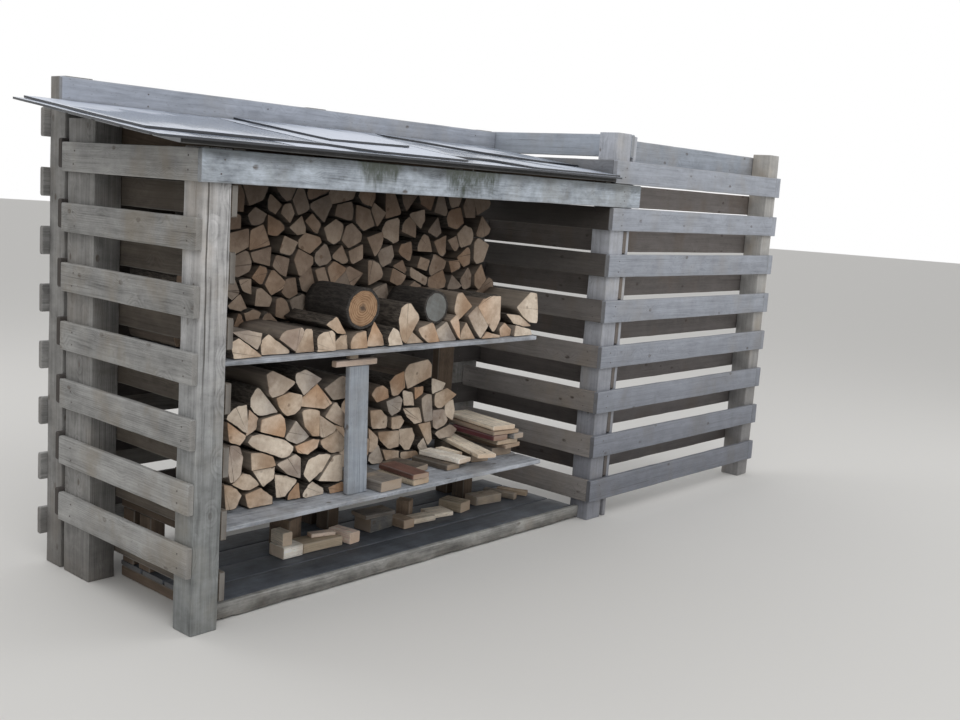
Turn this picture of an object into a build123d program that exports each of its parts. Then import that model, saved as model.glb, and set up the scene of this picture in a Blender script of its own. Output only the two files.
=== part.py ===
from build123d import *

import os
from math import atan, cos, degrees, pi, sin

# Log store with slatted walls, a shallow lean-to roof, two shelves full of firewood and one bay of
# slatted fence beside it. Millimetres, Z up. X runs along the open front, Y into the store.
# Every x below counts from the left post's outer corner and every y from the posts' front faces;
# the origin is on the ground under the middle of the whole part.

os.makedirs("parts", exist_ok=True)

# driving sizes: walls and fence
post = 100.0
slat_t = 22.0
slat_h = 98.0
slat_pitch = 198.5
slat_low = 88.0
seat = 0.3
bay_width = 2149.0
bay_depth = 772.0
wing_length = 1262.0
post_top = 1690.0
front_post_top = 1480.0
rear_fence_rise = 12.0
top_slat_lift = 15.0
rear_post_depth = 168.0

# driving sizes: roof
fascia_z = 1378.0
fascia_h = 99.0
fascia_past = 70.0
roof_under_front = 1484.0
roof_rise = 0.1226
rafter_w = 45.0
rafter_h = 90.0
deck_t = 18.0
sheet_t = 7.0
sheet_front = -62.0
sheet_left = -190.0
deck_left = -90.0
lap_front = 62.0

# driving sizes: shelves, base and firewood
shelf_front = 50.0
shelf_t = 18.0
shelf_gap_right = 367.0
lower_shelf_more = 90.0
upper_shelf_z = 822.0
lower_shelf_z = 290.0
bearer_w = 38.0
bearer_h = 40.0
cleat_t = 24.0
base_top = 58.0
board_t = 22.0
mid_post_x = 712.0
mid_post_w = 93.0
mid_post_d = 26.0
mid_post_set = 53.0
mid_post_lean = 19.0
mid_stack_x = 763.0
plank_left = 370.0
round_log_cut = 31.0
rear_mid_t = 40.0
log_gap = 0.4
log_clear = 3.0
log_past = 24.0
rear_row_repeat = 1600.0
rear_log_len = 290.0
lower_log_len = 290.0

# derived places
corner_x = bay_width - post
end_post_x = bay_width + wing_length
inner_face_r = corner_x - slat_t
fence_y = bay_depth + slat_t
y_max = fence_y + post + slat_t
x_min = sheet_left
x_max = end_post_x + post
mid_x = (x_min + x_max) / 2
mid_y = (sheet_front + y_max) / 2
mid_x_bay = bay_width / 2
roof_right = inner_face_r - seat
shelf_left = post + slat_t + 2 * seat
shelf_back = bay_depth - rear_post_depth - 2 * seat
upper_shelf_end = inner_face_r - shelf_gap_right
lower_shelf_end = upper_shelf_end + lower_shelf_more
upper_top = upper_shelf_z + shelf_t
lower_top = lower_shelf_z + shelf_t
rear_row_front = shelf_back - 10 - rear_log_len


def solid_box(x0, x1, y0, y1, z0, z1):
    """A box between two corners, measured from the left post's corner."""
    with Locations(((x0 + x1) / 2 - mid_x, (y0 + y1) / 2 - mid_y, (z0 + z1) / 2)):
        Box(x1 - x0, y1 - y0, z1 - z0)


def offcut(x, y, z, width, length, thick, turn):
    """A sawn offcut lying flat on a height z, its middle at x, y, turned by some degrees."""
    with Locations(Location((x - mid_x, y - mid_y, z + thick / 2), (0, 0, turn))):
        Box(width, length, thick)


def roof_z(y):
    """Height of the roof's underside above the ground at a depth y."""
    return roof_under_front + roof_rise * y


def sloped_bar(x0, x1, y0, y1, low, high):
    """A bar that follows the roof, from low to high above the roof's underside."""
    with BuildSketch(Plane.YZ.offset(x0 - mid_x)) as side:
        with BuildLine():
            Polyline(
                (y0 - mid_y, roof_z(y0) + low),
                (y1 - mid_y, roof_z(y1) + low),
                (y1 - mid_y, roof_z(y1) + high),
                (y0 - mid_y, roof_z(y0) + high),
                close=True,
            )
        make_face()
    extrude(side.sketch, amount=x1 - x0)


def sheet_level(course):
    """Height of a course of roofing sheets above the roof's underside."""
    return deck_t + seat + course * (sheet_t + seat)


def roof_sheet(outline, course):
    """A roofing sheet cut to an outline of (x, y) corners seen from above, lying in one course."""
    slope = Plane(
        origin=(0, 0, roof_z(mid_y) + sheet_level(course)),
        x_dir=(1, 0, 0),
        z_dir=(0, -sin(atan(roof_rise)), cos(atan(roof_rise))),
    )
    with BuildSketch(slope) as cut:
        with BuildLine():
            Polyline(*[(x - mid_x, (y - mid_y) / cos(atan(roof_rise))) for x, y in outline], close=True)
        make_face()
    extrude(cut.sketch, amount=sheet_t * cos(atan(roof_rise)))


def log_bar(end, y0, y1):
    """A split log or a bar that runs front to back, from the corners of its end."""
    with BuildSketch(Plane.XZ.offset(mid_y - y0)) as face:
        with BuildLine():
            Polyline(*[(x - mid_x, z) for x, z in end], close=True)
        make_face()
    extrude(face.sketch, amount=y0 - y1)


def round_bar(x, z, radius, y0, y1):
    """A round log lying front to back."""
    with BuildSketch(Plane.XZ.offset(mid_y - y0)) as face:
        with Locations((x - mid_x, z)):
            Circle(radius)
    extrude(face.sketch, amount=y0 - y1)


def levels(first, last, offset):
    """Lower edges of the slats: offset 0 for the front or inner rows, 1 for the rows behind."""
    return [slat_low + slat_pitch * k + offset * slat_pitch / 2 for k in range(first, last + 1)]


def sides(corners):
    """Outward directions of an outline's sides, from its corners taken anticlockwise."""
    out = []
    for (ax, az), (bx, bz) in zip(corners, corners[1:] + corners[:1]):
        long = ((bx - ax) ** 2 + (bz - az) ** 2) ** 0.5
        out.append(((bz - az) / long, (ax - bx) / long))
    return out


def reach(corners, way):
    """How far an outline reaches in a direction."""
    return max(way[0] * x + way[1] * z for x, z in corners)


def trimmed(corners, way, limit):
    """The part of an outline that reaches no further than limit in a direction."""
    kept = []
    for (ax, az), (bx, bz) in zip(corners, corners[1:] + corners[:1]):
        a = way[0] * ax + way[1] * az - limit
        b = way[0] * bx + way[1] * bz - limit
        if a <= 0:
            kept.append((ax, az))
        if a * b < 0:
            kept.append((ax + a / (a - b) * (bx - ax), az + a / (a - b) * (bz - az)))
    return kept


def stacked(ends, left, right, floor, top, swell, firm=0):
    """Outlines of stacked logs: each swells until it meets its neighbours, the shelf and the walls.
    The last ones, as many as firm says, are round and keep their size."""
    ends = [e for e in ends if reach(e, (1, 0)) < right and reach(e, (0, 1)) < top]
    soft = len(ends) - firm
    shapes = []
    for k, own in enumerate(ends):
        x, z = own[0]
        shape = [(x - 400, z - 400), (x + 400, z - 400), (x + 400, z + 400), (x - 400, z + 400)]
        for way in sides(own):
            shape = trimmed(shape, way, reach(own, way) + (swell if k < soft else 0))
        for way, limit in (((-1, 0), -left), ((1, 0), right), ((0, -1), -floor), ((0, 1), top)):
            shape = trimmed(shape, way, limit)
        shapes.append(shape)
    for i, a in enumerate(ends):
        for j in range(i + 1, len(ends)):
            b = ends[j]
            if abs(a[0][0] - b[0][0]) + abs(a[0][1] - b[0][1]) > 500:
                continue
            ways = sides(a) + [(-u, -w) for u, w in sides(b)]
            way = max(ways, key=lambda n: -reach(b, (-n[0], -n[1])) - reach(a, n))
            near, far = reach(a, way), -reach(b, (-way[0], -way[1]))
            line = (near + far) / 2 if j < soft else far - log_gap / 2
            shapes[i] = trimmed(shapes[i], way, line - log_gap / 2)
            if j < soft:
                shapes[j] = trimmed(shapes[j], (-way[0], -way[1]), -line - log_gap / 2)
    return [joined(shape) for shape in shapes]


def joined(corners):
    """An outline without corners that lie closer together than 2 mm."""
    kept = []
    for x, z in corners:
        if not kept or abs(x - kept[-1][0]) + abs(z - kept[-1][1]) > 2:
            kept.append((round(x, 2), round(z, 2)))
    if abs(kept[0][0] - kept[-1][0]) + abs(kept[0][1] - kept[-1][1]) <= 2:
        kept.pop()
    return kept


def round_end(x, z, radius, count):
    """Outline of a round log's end: a polygon of count sides round the circle."""
    turn = 2 * pi / count
    wide = radius / cos(turn / 2)
    return [(x + wide * cos(turn * k), z + wide * sin(turn * k)) for k in range(count)]


def placed(corners, x, z):
    """An outline moved by x and z."""
    return [(x + u, z + w) for u, w in corners]


# firewood: corners of each log's end, as measured, before the logs swell together
# (x, z) from the left wall's inner face and the shelf's top: front row of the upper shelf
upper_front_ends = [
    [(35, 51), (56, -6), (152, 5), (65, 65)],
    [(59, 80), (146, 26), (157, 42), (159, 73), (112, 83)],
    [(171, 49), (178, -10), (279, -8), (282, 12), (194, 67)],
    [(237, 49), (296, 9), (327, 53), (321, 83), (268, 77), (248, 68)],
    [(303, 20), (317, -7), (389, -3), (380, 75), (333, 78)],
    [(376, 34), (382, -4), (460, 4), (456, 69), (413, 65), (387, 53)],
    [(432, 89), (473, 63), (505, 61), (470, 111)],
    [(479, 24), (481, -4), (535, -4), (531, 51), (509, 49)],
    [(536, 15), (542, -3), (616, -5), (607, 59), (570, 54), (548, 38)],
    [(618, 11), (691, -1), (714, 12), (651, 87)],
    [(702, 18), (707, 3), (787, 1), (763, 50), (732, 66), (714, 46)],
    [(773, 95), (783, 29), (810, 9), (870, 90), (863, 108), (819, 154), (785, 134)],
    [(825, 3), (908, 1), (842, 46)],
    [(869, 53), (893, 23), (937, -3), (979, 2), (941, 71)],
    [(961, 69), (1005, -1), (1092, 12), (1017, 104)],
    [(1012, 76), (1083, 22), (1072, 72), (1053, 104)],
    [(1106, -4), (1180, -1), (1128, 60), (1109, 31)],
    [(1071, 116), (1096, 84), (1166, 127), (1104, 179), (1082, 176)],
    [(1138, 95), (1177, 43), (1216, 5), (1253, 50), (1186, 127)],
    [(1202, 126), (1249, 69), (1302, 18), (1328, 57), (1323, 164), (1263, 166), (1229, 152)],
    [(1211, 6), (1224, -7), (1320, -5), (1318, 15), (1238, 32)],
    [(1332, 33), (1342, 0), (1404, -4), (1408, 20), (1355, 52)],
    [(1400, 11), (1414, -7), (1471, -10), (1515, 3), (1498, 33), (1420, 50)],
    [(1436, 116), (1493, 61), (1559, 53), (1546, 165), (1513, 170)],
    [(1382, 86), (1436, 42), (1526, 42), (1464, 78)],
]

# middles of the logs in the stack behind it
upper_rear_middles = [
    (233, 411), (232, 354), (336, 353), (306, 445), (447, 450), (377, 401), (445, 337), (539, 417),
    (544, 353), (652, 390), (742, 361), (846, 354), (800, 446), (703, 469), (575, 474), (344, 300),
    (335, 238), (243, 261), (437, 267), (506, 278), (607, 297), (689, 299), (662, 250), (766, 310),
    (550, 219), (600, 226), (702, 201), (775, 235), (854, 242), (928, 308), (267, 204), (224, 188),
    (255, 145), (337, 150), (391, 196), (476, 185), (422, 112), (502, 125), (365, 63), (301, 90),
    (249, 85), (966, 225), (924, 164), (944, 398), (1028, 400), (1026, 315), (1092, 461), (1130, 334),
    (1216, 341), (1167, 425), (1279, 354), (1306, 465), (1448, 313), (1455, 436), (1544, 386), (992, 270),
    (1108, 267), (1094, 222), (1077, 182), (1201, 266), (1211, 203), (1289, 265), (1314, 203),
    (1373, 211), (1465, 229), (1551, 218), (1505, 153), (1550, 286), (939, 486), (384, 479), (237, 476),
    (485, 475), (871, 473), (1200, 495), (1364, 491), (1521, 494), (1358, 374), (1362, 293), (497, 406),
    (303, 501), (422, 511), (560, 522), (689, 519), (808, 515), (1033, 514), (1130, 517), (1287, 521),
    (1443, 518), (18, 32), (68, 120), (19, 198), (113, 30), (151, 109), (111, 200), (196, 40), (446, 28),
    (528, 44), (570, 111), (623, 46), (646, 124), (712, 35), (731, 110), (796, 33), (818, 116), (861, 44),
    (964, 30), (997, 121), (1046, 45), (1114, 47), (1142, 113), (1219, 43), (1228, 119), (1295, 35),
    (1323, 122), (1376, 31), (1404, 109), (1466, 35), (37, 542), (142, 543), (220, 542),
]

# stack in the lower left bay
lower_left_ends = [
    [(252, 453), (268, 378), (317, 386), (366, 419), (272, 462)],
    [(379, 444), (385, 416), (418, 371), (482, 421), (418, 455)],
    [(205, 382), (206, 352), (224, 323), (269, 314), (310, 326), (240, 409), (224, 407)],
    [(299, 371), (313, 335), (344, 311), (378, 314), (403, 332), (401, 370), (349, 383)],
    [(412, 354), (413, 333), (512, 315), (539, 330), (476, 400)],
    [(519, 381), (558, 341), (609, 343), (611, 393), (586, 417)],
    [(524, 282), (596, 245), (603, 280), (558, 329)],
    [(107, 318), (155, 282), (188, 267), (180, 355), (140, 353), (117, 339)],
    [(189, 252), (233, 274), (236, 304), (194, 339)],
    [(235, 303), (241, 261), (334, 232), (341, 262), (335, 291), (313, 314)],
    [(113, 303), (123, 239), (159, 227), (182, 254)],
    [(408, 314), (424, 260), (457, 227), (488, 223), (484, 305), (447, 317)],
    [(495, 285), (500, 213), (564, 215), (567, 240)],
    [(355, 224), (412, 198), (451, 222), (395, 278)],
    [(195, 231), (242, 190), (306, 164), (357, 163), (381, 191), (337, 222), (255, 250), (214, 252)],
    [(395, 195), (410, 168), (446, 159), (485, 179), (493, 206), (461, 211)],
    [(508, 206), (519, 169), (562, 141), (623, 150), (625, 187), (580, 230)],
    [(112, 165), (127, 103), (157, 125), (167, 184), (153, 220), (122, 224)],
    [(132, 97), (165, 78), (205, 71), (241, 82), (203, 116), (175, 124)],
    [(203, 190), (205, 142), (250, 138), (296, 145), (281, 182)],
    [(314, 144), (368, 97), (412, 80), (409, 148), (386, 165)],
    [(436, 85), (464, 55), (544, 100), (555, 143), (504, 146), (455, 132)],
    [(490, 61), (603, 42), (596, 139), (549, 139)],
    [(216, 131), (260, 73), (301, 97), (299, 132)],
    [(315, 97), (327, 21), (370, 20), (412, 63), (385, 82)],
    [(544, 26), (560, -10), (617, -1), (605, 38)],
    [(428, 12), (520, -16), (528, 20), (471, 55)],
    [(374, -9), (431, -5), (423, 54), (384, 35)],
    [(104, 100), (115, 17), (147, 18), (165, 55), (136, 91)],
    [(195, 49), (209, -2), (301, -12), (299, 30), (256, 62)],
]

# stack in the lower right bay, and the middles of the logs that the middle post hides
lower_right_ends = [
    [(1017, 327), (1026, 286), (1048, 275), (1090, 308), (1086, 361), (1043, 349)],
    [(1104, 362), (1132, 299), (1250, 337), (1246, 383), (1227, 401), (1130, 389)],
    [(942, 288), (976, 252), (1024, 263), (1017, 292), (988, 311), (956, 306)],
    [(1010, 259), (1031, 200), (1079, 215), (1087, 254), (1064, 269)],
    [(1114, 213), (1134, 182), (1176, 152), (1223, 151), (1207, 207)],
    [(1209, 259), (1218, 153), (1265, 156), (1251, 254)],
    [(1162, 291), (1171, 245), (1210, 262), (1208, 291)],
    [(1107, 283), (1117, 229), (1163, 228), (1159, 270)],
    [(1288, 220), (1320, 196), (1401, 243), (1343, 274), (1290, 262)],
    [(1360, 168), (1399, 147), (1408, 180), (1399, 216), (1363, 207)],
    [(1281, 129), (1319, 107), (1358, 145), (1335, 190), (1281, 192)],
    [(1199, 137), (1216, 76), (1243, 35), (1281, 76), (1269, 141)],
    [(1098, 124), (1108, 73), (1151, 34), (1181, 92), (1166, 123)],
    [(978, 133), (986, 96), (1027, 61), (1087, 69), (1082, 128)],
    [(935, 217), (950, 155), (1038, 144), (1035, 181), (994, 214)],
    [(1031, 180), (1034, 139), (1084, 140), (1105, 163), (1087, 181)],
    [(921, 148), (927, 66), (965, 61), (967, 109)],
    [(1281, 104), (1320, 73), (1381, 69), (1416, 95), (1364, 127)],
    [(984, 59), (1008, 23), (1093, 6), (1090, 40)],
    [(1108, 40), (1118, -3), (1211, -21), (1233, -3), (1207, 34)],
    [(1265, 261), (1312, 273), (1328, 297), (1266, 319)],
]

# logs behind the middle post
lower_right_hidden = [
    (717, 52), (807, 64), (757, 144), (852, 162), (722, 237), (817, 252), (887, 82), (777, 332),
    (977, 42), (1237, 37),
]

# round and dark log lying on the front row: middle across the shelf, height of the middle, radius
round_log_x = 715.0
round_log_up = 140.5
round_log_r = 75.0
dark_log_x = 1104.0
dark_log_up = 129.5
dark_log_r = 64.0

# sawn offcuts: place of the middle in x and y, height, width, length, thickness, turn in degrees
plank_pieces = [
    (-450, 185, 0, 80, 190, 24, 2),
    (-358, 212, 0, 72, 172, 24, -3),
    (-230, 250, 0, 90, 270, 44, -12),
    (-408, 176, 24.3, 84, 205, 20, 6),
    (-262, 195, 44.6, 84, 368, 18, -20),
    (-338, 220, 24.3, 46, 115, 18, -2),
    (-78, 295, 0, 120, 300, 36, -4),
    (-72, 255, 36.3, 112, 290, 20, 5),
    (-78, 270, 56.6, 120, 320, 20, -6),
    (-136, 235, 76.9, 88, 250, 24, -3),
    (-47, 240, 76.9, 66, 290, 24, 2),
    (-95, 250, 101.2, 150, 290, 16, -7),
    (-85, 280, 117.5, 120, 330, 20, -10),
]
block_pieces = [
    (79, 76, 0, 110, 131, 40, 2),
    (227, 102, 0, 92, 190, 24, 4),
    (229, 99, 24.3, 84, 196, 22, -3),
    (95, 200, 0, 120, 90, 34, -8),
    (345, 210, 0, 110, 150, 26, 10),
]
base_pieces = [
    (604, 247, 0, 88, 85, 45, 0),
    (585, 253, 45.3, 44, 70, 50, 0),
    (749, 250, 0, 180, 86, 38, -3),
    (884, 250, 0, 58, 110, 44, 8),
    (775, 255, 38.3, 100, 40, 16, -14),
    (690, 362, 0, 90, 90, 100, 20),
    (1085, 300, 0, 128, 90, 55, 4),
    (1078, 297, 55.3, 150, 95, 18, -4),
    (1190, 250, 0, 60, 90, 38, 0),
    (1292, 255, 0, 132, 70, 24, -6),
    (1424, 275, 0, 104, 95, 20, -10),
    (1541, 285, 0, 80, 110, 44, 12),
    (1300, 345, 0, 60, 60, 70, 30),
    (1728, 285, 0, 150, 78, 40, -6),
    (1858, 300, 0, 36, 150, 30, 18),
    (1945, 300, 0, 34, 140, 24, 24),
]

# posts
with BuildPart() as post_front_left:
    solid_box(0, post, 0, post, 0, front_post_top)
post_front_left.part.label = "post_front_left"
export_step(post_front_left.part, "parts/post_front_left.step")

with BuildPart() as corner_post:
    solid_box(corner_x, bay_width, 0, post, 0, post_top)
corner_post.part.label = "corner_post"
export_step(corner_post.part, "parts/corner_post.step")

with BuildPart() as corner_batten:
    solid_box(bay_width + slat_t + seat, bay_width + slat_t + seat + slat_t, 0, post, 0, post_top - 8)
corner_batten.part.label = "corner_batten"
export_step(corner_batten.part, "parts/corner_batten.step")

with BuildPart() as wing_end_post:
    solid_box(end_post_x, end_post_x + post, 0, post, 0, post_top)
wing_end_post.part.label = "wing_end_post"
export_step(wing_end_post.part, "parts/wing_end_post.step")

with BuildPart() as post_rear_left:
    solid_box(0, post, bay_depth - seat - rear_post_depth, bay_depth - seat, 0,
              roof_z(bay_depth - rear_post_depth) - 4)
post_rear_left.part.label = "post_rear_left"
export_step(post_rear_left.part, "parts/post_rear_left.step")

with BuildPart() as rear_fence_posts:
    for x in (0.0, corner_x / 2, corner_x):
        solid_box(x, x + post, fence_y + seat, fence_y + seat + post, 0, post_top)
rear_fence_posts.part.label = "rear_fence_posts"
export_step(rear_fence_posts.part, "parts/rear_fence_posts.step")

# left wall
with BuildPart() as left_wall_outer_slats:
    for z in levels(0, 6, 1):
        solid_box(-slat_t - seat, -seat, 0, bay_depth - seat, z, z + slat_h)
left_wall_outer_slats.part.label = "left_wall_outer_slats"
export_step(left_wall_outer_slats.part, "parts/left_wall_outer_slats.step")

with BuildPart() as left_wall_inner_slats:
    for z in levels(0, 6, 0):
        solid_box(post + seat, post + seat + slat_t, 0, bay_depth - seat, z, z + slat_h)
left_wall_inner_slats.part.label = "left_wall_inner_slats"
export_step(left_wall_inner_slats.part, "parts/left_wall_inner_slats.step")

# right wall: the roof butts against its highest inner slat
with BuildPart() as right_wall_inner_slats:
    for z in levels(0, 7, 0):
        solid_box(inner_face_r - seat, corner_x - seat, 0, bay_depth - seat, z, z + slat_h)
right_wall_inner_slats.part.label = "right_wall_inner_slats"
export_step(right_wall_inner_slats.part, "parts/right_wall_inner_slats.step")

with BuildPart() as right_wall_outer_slats:
    for k, z in enumerate(levels(0, 7, 1)):
        rise = top_slat_lift if k == 7 else 0
        solid_box(bay_width + seat, bay_width + slat_t, 0, fence_y + post, z + rise, z + rise + slat_h)
right_wall_outer_slats.part.label = "right_wall_outer_slats"
export_step(right_wall_outer_slats.part, "parts/right_wall_outer_slats.step")

# back wall
with BuildPart() as back_wall_inner_slats:
    for z in levels(0, 7, 1):
        solid_box(-slat_t, bay_width - 2, bay_depth, fence_y, z + rear_fence_rise,
                  z + rear_fence_rise + slat_h)
back_wall_inner_slats.part.label = "back_wall_inner_slats"
export_step(back_wall_inner_slats.part, "parts/back_wall_inner_slats.step")

with BuildPart() as back_wall_outer_slats:
    for z in levels(0, 7, 0):
        solid_box(-slat_t, bay_width + slat_t, y_max - slat_t + 2 * seat, y_max, z + rear_fence_rise,
                  z + rear_fence_rise + slat_h)
back_wall_outer_slats.part.label = "back_wall_outer_slats"
export_step(back_wall_outer_slats.part, "parts/back_wall_outer_slats.step")

# fence bay beside the store: the slats of the next bay are cut off at the end post
with BuildPart() as wing_front_slats:
    for z in levels(0, 7, 0):
        solid_box(inner_face_r - seat, end_post_x + post / 2 - 1, -slat_t - seat, -seat, z, z + slat_h)
        solid_box(end_post_x + post / 2 + 1, end_post_x + post, -slat_t - seat, -seat, z, z + slat_h)
wing_front_slats.part.label = "wing_front_slats"
export_step(wing_front_slats.part, "parts/wing_front_slats.step")

with BuildPart() as wing_rear_slats:
    for z in levels(0, 7, 1):
        solid_box(bay_width + slat_t + seat, end_post_x + post, post + seat, post + seat + slat_t,
                  z, z + slat_h)
wing_rear_slats.part.label = "wing_rear_slats"
export_step(wing_rear_slats.part, "parts/wing_rear_slats.step")

# front beam and roof frame
with BuildPart() as front_fascia:
    solid_box(-slat_t, bay_width + fascia_past, -slat_t - seat, -seat, fascia_z, fascia_z + fascia_h)
front_fascia.part.label = "front_fascia"
export_step(front_fascia.part, "parts/front_fascia.step")

with BuildPart() as roof_rafters:
    for x in (post + seat, mid_x_bay - rafter_w / 2, roof_right - rafter_w):
        sloped_bar(x, x + rafter_w, seat, bay_depth - slat_t - 2, -rafter_h, -seat)
roof_rafters.part.label = "roof_rafters"
export_step(roof_rafters.part, "parts/roof_rafters.step")

with BuildPart() as rear_plate:
    solid_box(post + seat + rafter_w + 2, roof_right - rafter_w - 2, bay_depth - slat_t - 1,
              bay_depth - seat, roof_z(bay_depth - slat_t - 1) - 100, roof_z(bay_depth - slat_t - 1) - seat)
rear_plate.part.label = "rear_plate"
export_step(rear_plate.part, "parts/rear_plate.step")

with BuildPart() as roof_deck:
    sloped_bar(deck_left, roof_right, -slat_t, bay_depth - seat, 0, deck_t)
roof_deck.part.label = "roof_deck"
export_step(roof_deck.part, "parts/roof_deck.step")

# roofing sheets: a lower course that hangs over the front, a lapped course and loose sheets on top
sheet_back = bay_depth - 3
joint_left = 293.0
joint_right = 705.0
lap_left = sheet_left + 36
lap_joint = 500.0
lap_cut = roof_right - 600
top_cut = roof_right - 560

with BuildPart() as roof_sheet_left:
    roof_sheet([(sheet_left, sheet_front), (joint_left, sheet_front), (joint_left, sheet_back),
                (sheet_left, sheet_back)], 0)
roof_sheet_left.part.label = "roof_sheet_left"
export_step(roof_sheet_left.part, "parts/roof_sheet_left.step")

with BuildPart() as roof_sheet_middle:
    roof_sheet([(joint_left + seat, sheet_front + 8), (joint_right, sheet_front + 4),
                (joint_right, sheet_back), (joint_left + seat, sheet_back)], 0)
roof_sheet_middle.part.label = "roof_sheet_middle"
export_step(roof_sheet_middle.part, "parts/roof_sheet_middle.step")

with BuildPart() as roof_sheet_right:
    roof_sheet([(joint_right + seat, sheet_front + 5), (roof_right, sheet_front + 12),
                (roof_right, sheet_back), (joint_right + seat, sheet_back)], 0)
roof_sheet_right.part.label = "roof_sheet_right"
export_step(roof_sheet_right.part, "parts/roof_sheet_right.step")

with BuildPart() as roof_lap_sheets:
    roof_sheet([(lap_left, lap_front), (lap_joint, lap_front + 6), (lap_joint + 60, sheet_back),
                (lap_left, sheet_back)], 1)
    roof_sheet([(lap_joint + 4, lap_front + 14), (joint_right - 50, sheet_front + 45),
                (lap_cut - 330, sheet_front + 38), (lap_cut - 292, lap_front + 30),
                (lap_cut - 170, sheet_back), (lap_joint + 64, sheet_back)], 1)
    roof_sheet([(lap_cut - 284, lap_front + 36), (lap_cut - 60, lap_front + 44),
                (lap_cut + 20, sheet_front + 16), (roof_right - 2, sheet_front + 22),
                (roof_right - 2, sheet_back), (lap_cut - 164, sheet_back)], 1)
roof_lap_sheets.part.label = "roof_lap_sheets"
export_step(roof_lap_sheets.part, "parts/roof_lap_sheets.step")

with BuildPart() as roof_top_sheets:
    roof_sheet([(joint_right - 70, lap_front + 130), (lap_cut - 360, lap_front + 190),
                (top_cut - 110, sheet_back - 10), (joint_right - 60, sheet_back - 10)], 2)
    roof_sheet([(top_cut - 100, sheet_back - 60), (top_cut + 120, lap_front + 288),
                (roof_right - 230, lap_front + 150), (roof_right - 3, lap_front + 120),
                (roof_right - 3, sheet_back - 8), (top_cut - 100, sheet_back - 8)], 2)
roof_top_sheets.part.label = "roof_top_sheets"
export_step(roof_top_sheets.part, "parts/roof_top_sheets.step")

# shelves and what carries them
with BuildPart() as upper_shelf:
    solid_box(shelf_left, upper_shelf_end, shelf_front, shelf_back, upper_shelf_z, upper_top)
upper_shelf.part.label = "upper_shelf"
export_step(upper_shelf.part, "parts/upper_shelf.step")

with BuildPart() as lower_shelf:
    solid_box(shelf_left, lower_shelf_end, shelf_front, shelf_back, lower_shelf_z, lower_top)
lower_shelf.part.label = "lower_shelf"
export_step(lower_shelf.part, "parts/lower_shelf.step")

mid_post_front_y = shelf_front + mid_post_set
mid_post_top = upper_shelf_z - 2 * cleat_t - 3 * seat

with BuildPart() as mid_post_front:
    log_bar([(mid_post_x, lower_top + seat), (mid_post_x + mid_post_w, lower_top + seat),
             (mid_post_x + mid_post_w - mid_post_lean, mid_post_top),
             (mid_post_x - mid_post_lean, mid_post_top)],
            mid_post_front_y, mid_post_front_y + mid_post_d)
mid_post_front.part.label = "mid_post_front"
export_step(mid_post_front.part, "parts/mid_post_front.step")

with BuildPart() as mid_post_cleat:
    solid_box(mid_post_x - 81, mid_post_x + mid_post_w + 18, mid_post_front_y, mid_post_front_y + mid_post_d,
              mid_post_top + seat, mid_post_top + seat + cleat_t)
    solid_box(mid_post_x - 17, mid_post_x + 21, mid_post_front_y + 2, mid_post_front_y + mid_post_d - 2,
              mid_post_top + 2 * seat + cleat_t, upper_shelf_z - seat)
mid_post_cleat.part.label = "mid_post_cleat"
export_step(mid_post_cleat.part, "parts/mid_post_cleat.step")

with BuildPart() as mid_post_rear:
    solid_box(upper_shelf_end - 34, upper_shelf_end - 34 + post, shelf_back - rear_mid_t - 4, shelf_back - 4,
              lower_top + seat, upper_shelf_z - seat)
mid_post_rear.part.label = "mid_post_rear"
export_step(mid_post_rear.part, "parts/mid_post_rear.step")

bearer_front = mid_post_front_y + mid_post_d + 15
right_bearer_x = lower_shelf_end - 20 - bearer_w
mid_bearer_x = (shelf_left + right_bearer_x) / 2

with BuildPart() as shelf_bearers:
    solid_box(shelf_left, shelf_left + bearer_w, bearer_front, shelf_back,
              upper_shelf_z - bearer_h, upper_shelf_z - seat)
    for x in (shelf_left, mid_bearer_x, right_bearer_x):
        solid_box(x, x + bearer_w, bearer_front, shelf_back, lower_shelf_z - bearer_h, lower_shelf_z - seat)
shelf_bearers.part.label = "shelf_bearers"
export_step(shelf_bearers.part, "parts/shelf_bearers.step")

with BuildPart() as lower_shelf_blocks:
    for x in (shelf_left, mid_bearer_x, right_bearer_x):
        for y in (shelf_back - 80, shelf_back - 180):
            solid_box(x, x + bearer_w + 22, y, y + 70, base_top + seat, lower_shelf_z - bearer_h - seat)
lower_shelf_blocks.part.label = "lower_shelf_blocks"
export_step(lower_shelf_blocks.part, "parts/lower_shelf_blocks.step")

# base
with BuildPart() as base_front_board:
    solid_box(post + seat, corner_x - seat, shelf_front, shelf_front + board_t, 0, base_top)
base_front_board.part.label = "base_front_board"
export_step(base_front_board.part, "parts/base_front_board.step")

deck_front = shelf_front + board_t + seat
deck_right = inner_face_r - 2 * seat

with BuildPart() as base_deck:
    solid_box(shelf_left, deck_right, deck_front, shelf_back, base_top - shelf_t, base_top)
base_deck.part.label = "base_deck"
export_step(base_deck.part, "parts/base_deck.step")

with BuildPart() as base_joists:
    for k in range(5):
        x = shelf_left + 2 + k * (deck_right - shelf_left - 4 - rafter_w) / 4
        solid_box(x, x + rafter_w, deck_front + 2, shelf_back - 2, 0, base_top - shelf_t - seat)
base_joists.part.label = "base_joists"
export_step(base_joists.part, "parts/base_joists.step")

# firewood on the upper shelf
log_left = shelf_left + log_clear
rear_stack_top = roof_z(rear_row_front) - rafter_h - log_clear
front_row_back = rear_row_front - 4
upper_row = [placed(end, shelf_left, upper_top) for end in upper_front_ends]
upper_row.append(round_end(dark_log_x, upper_top + dark_log_up, dark_log_r, 40))
upper_row.append(round_end(round_log_x, upper_top + round_log_up, round_log_r, 40))
upper_outlines = stacked(upper_row, log_left, upper_shelf_end + log_past, upper_top + seat,
                         rear_stack_top, 8, 2)

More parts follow.
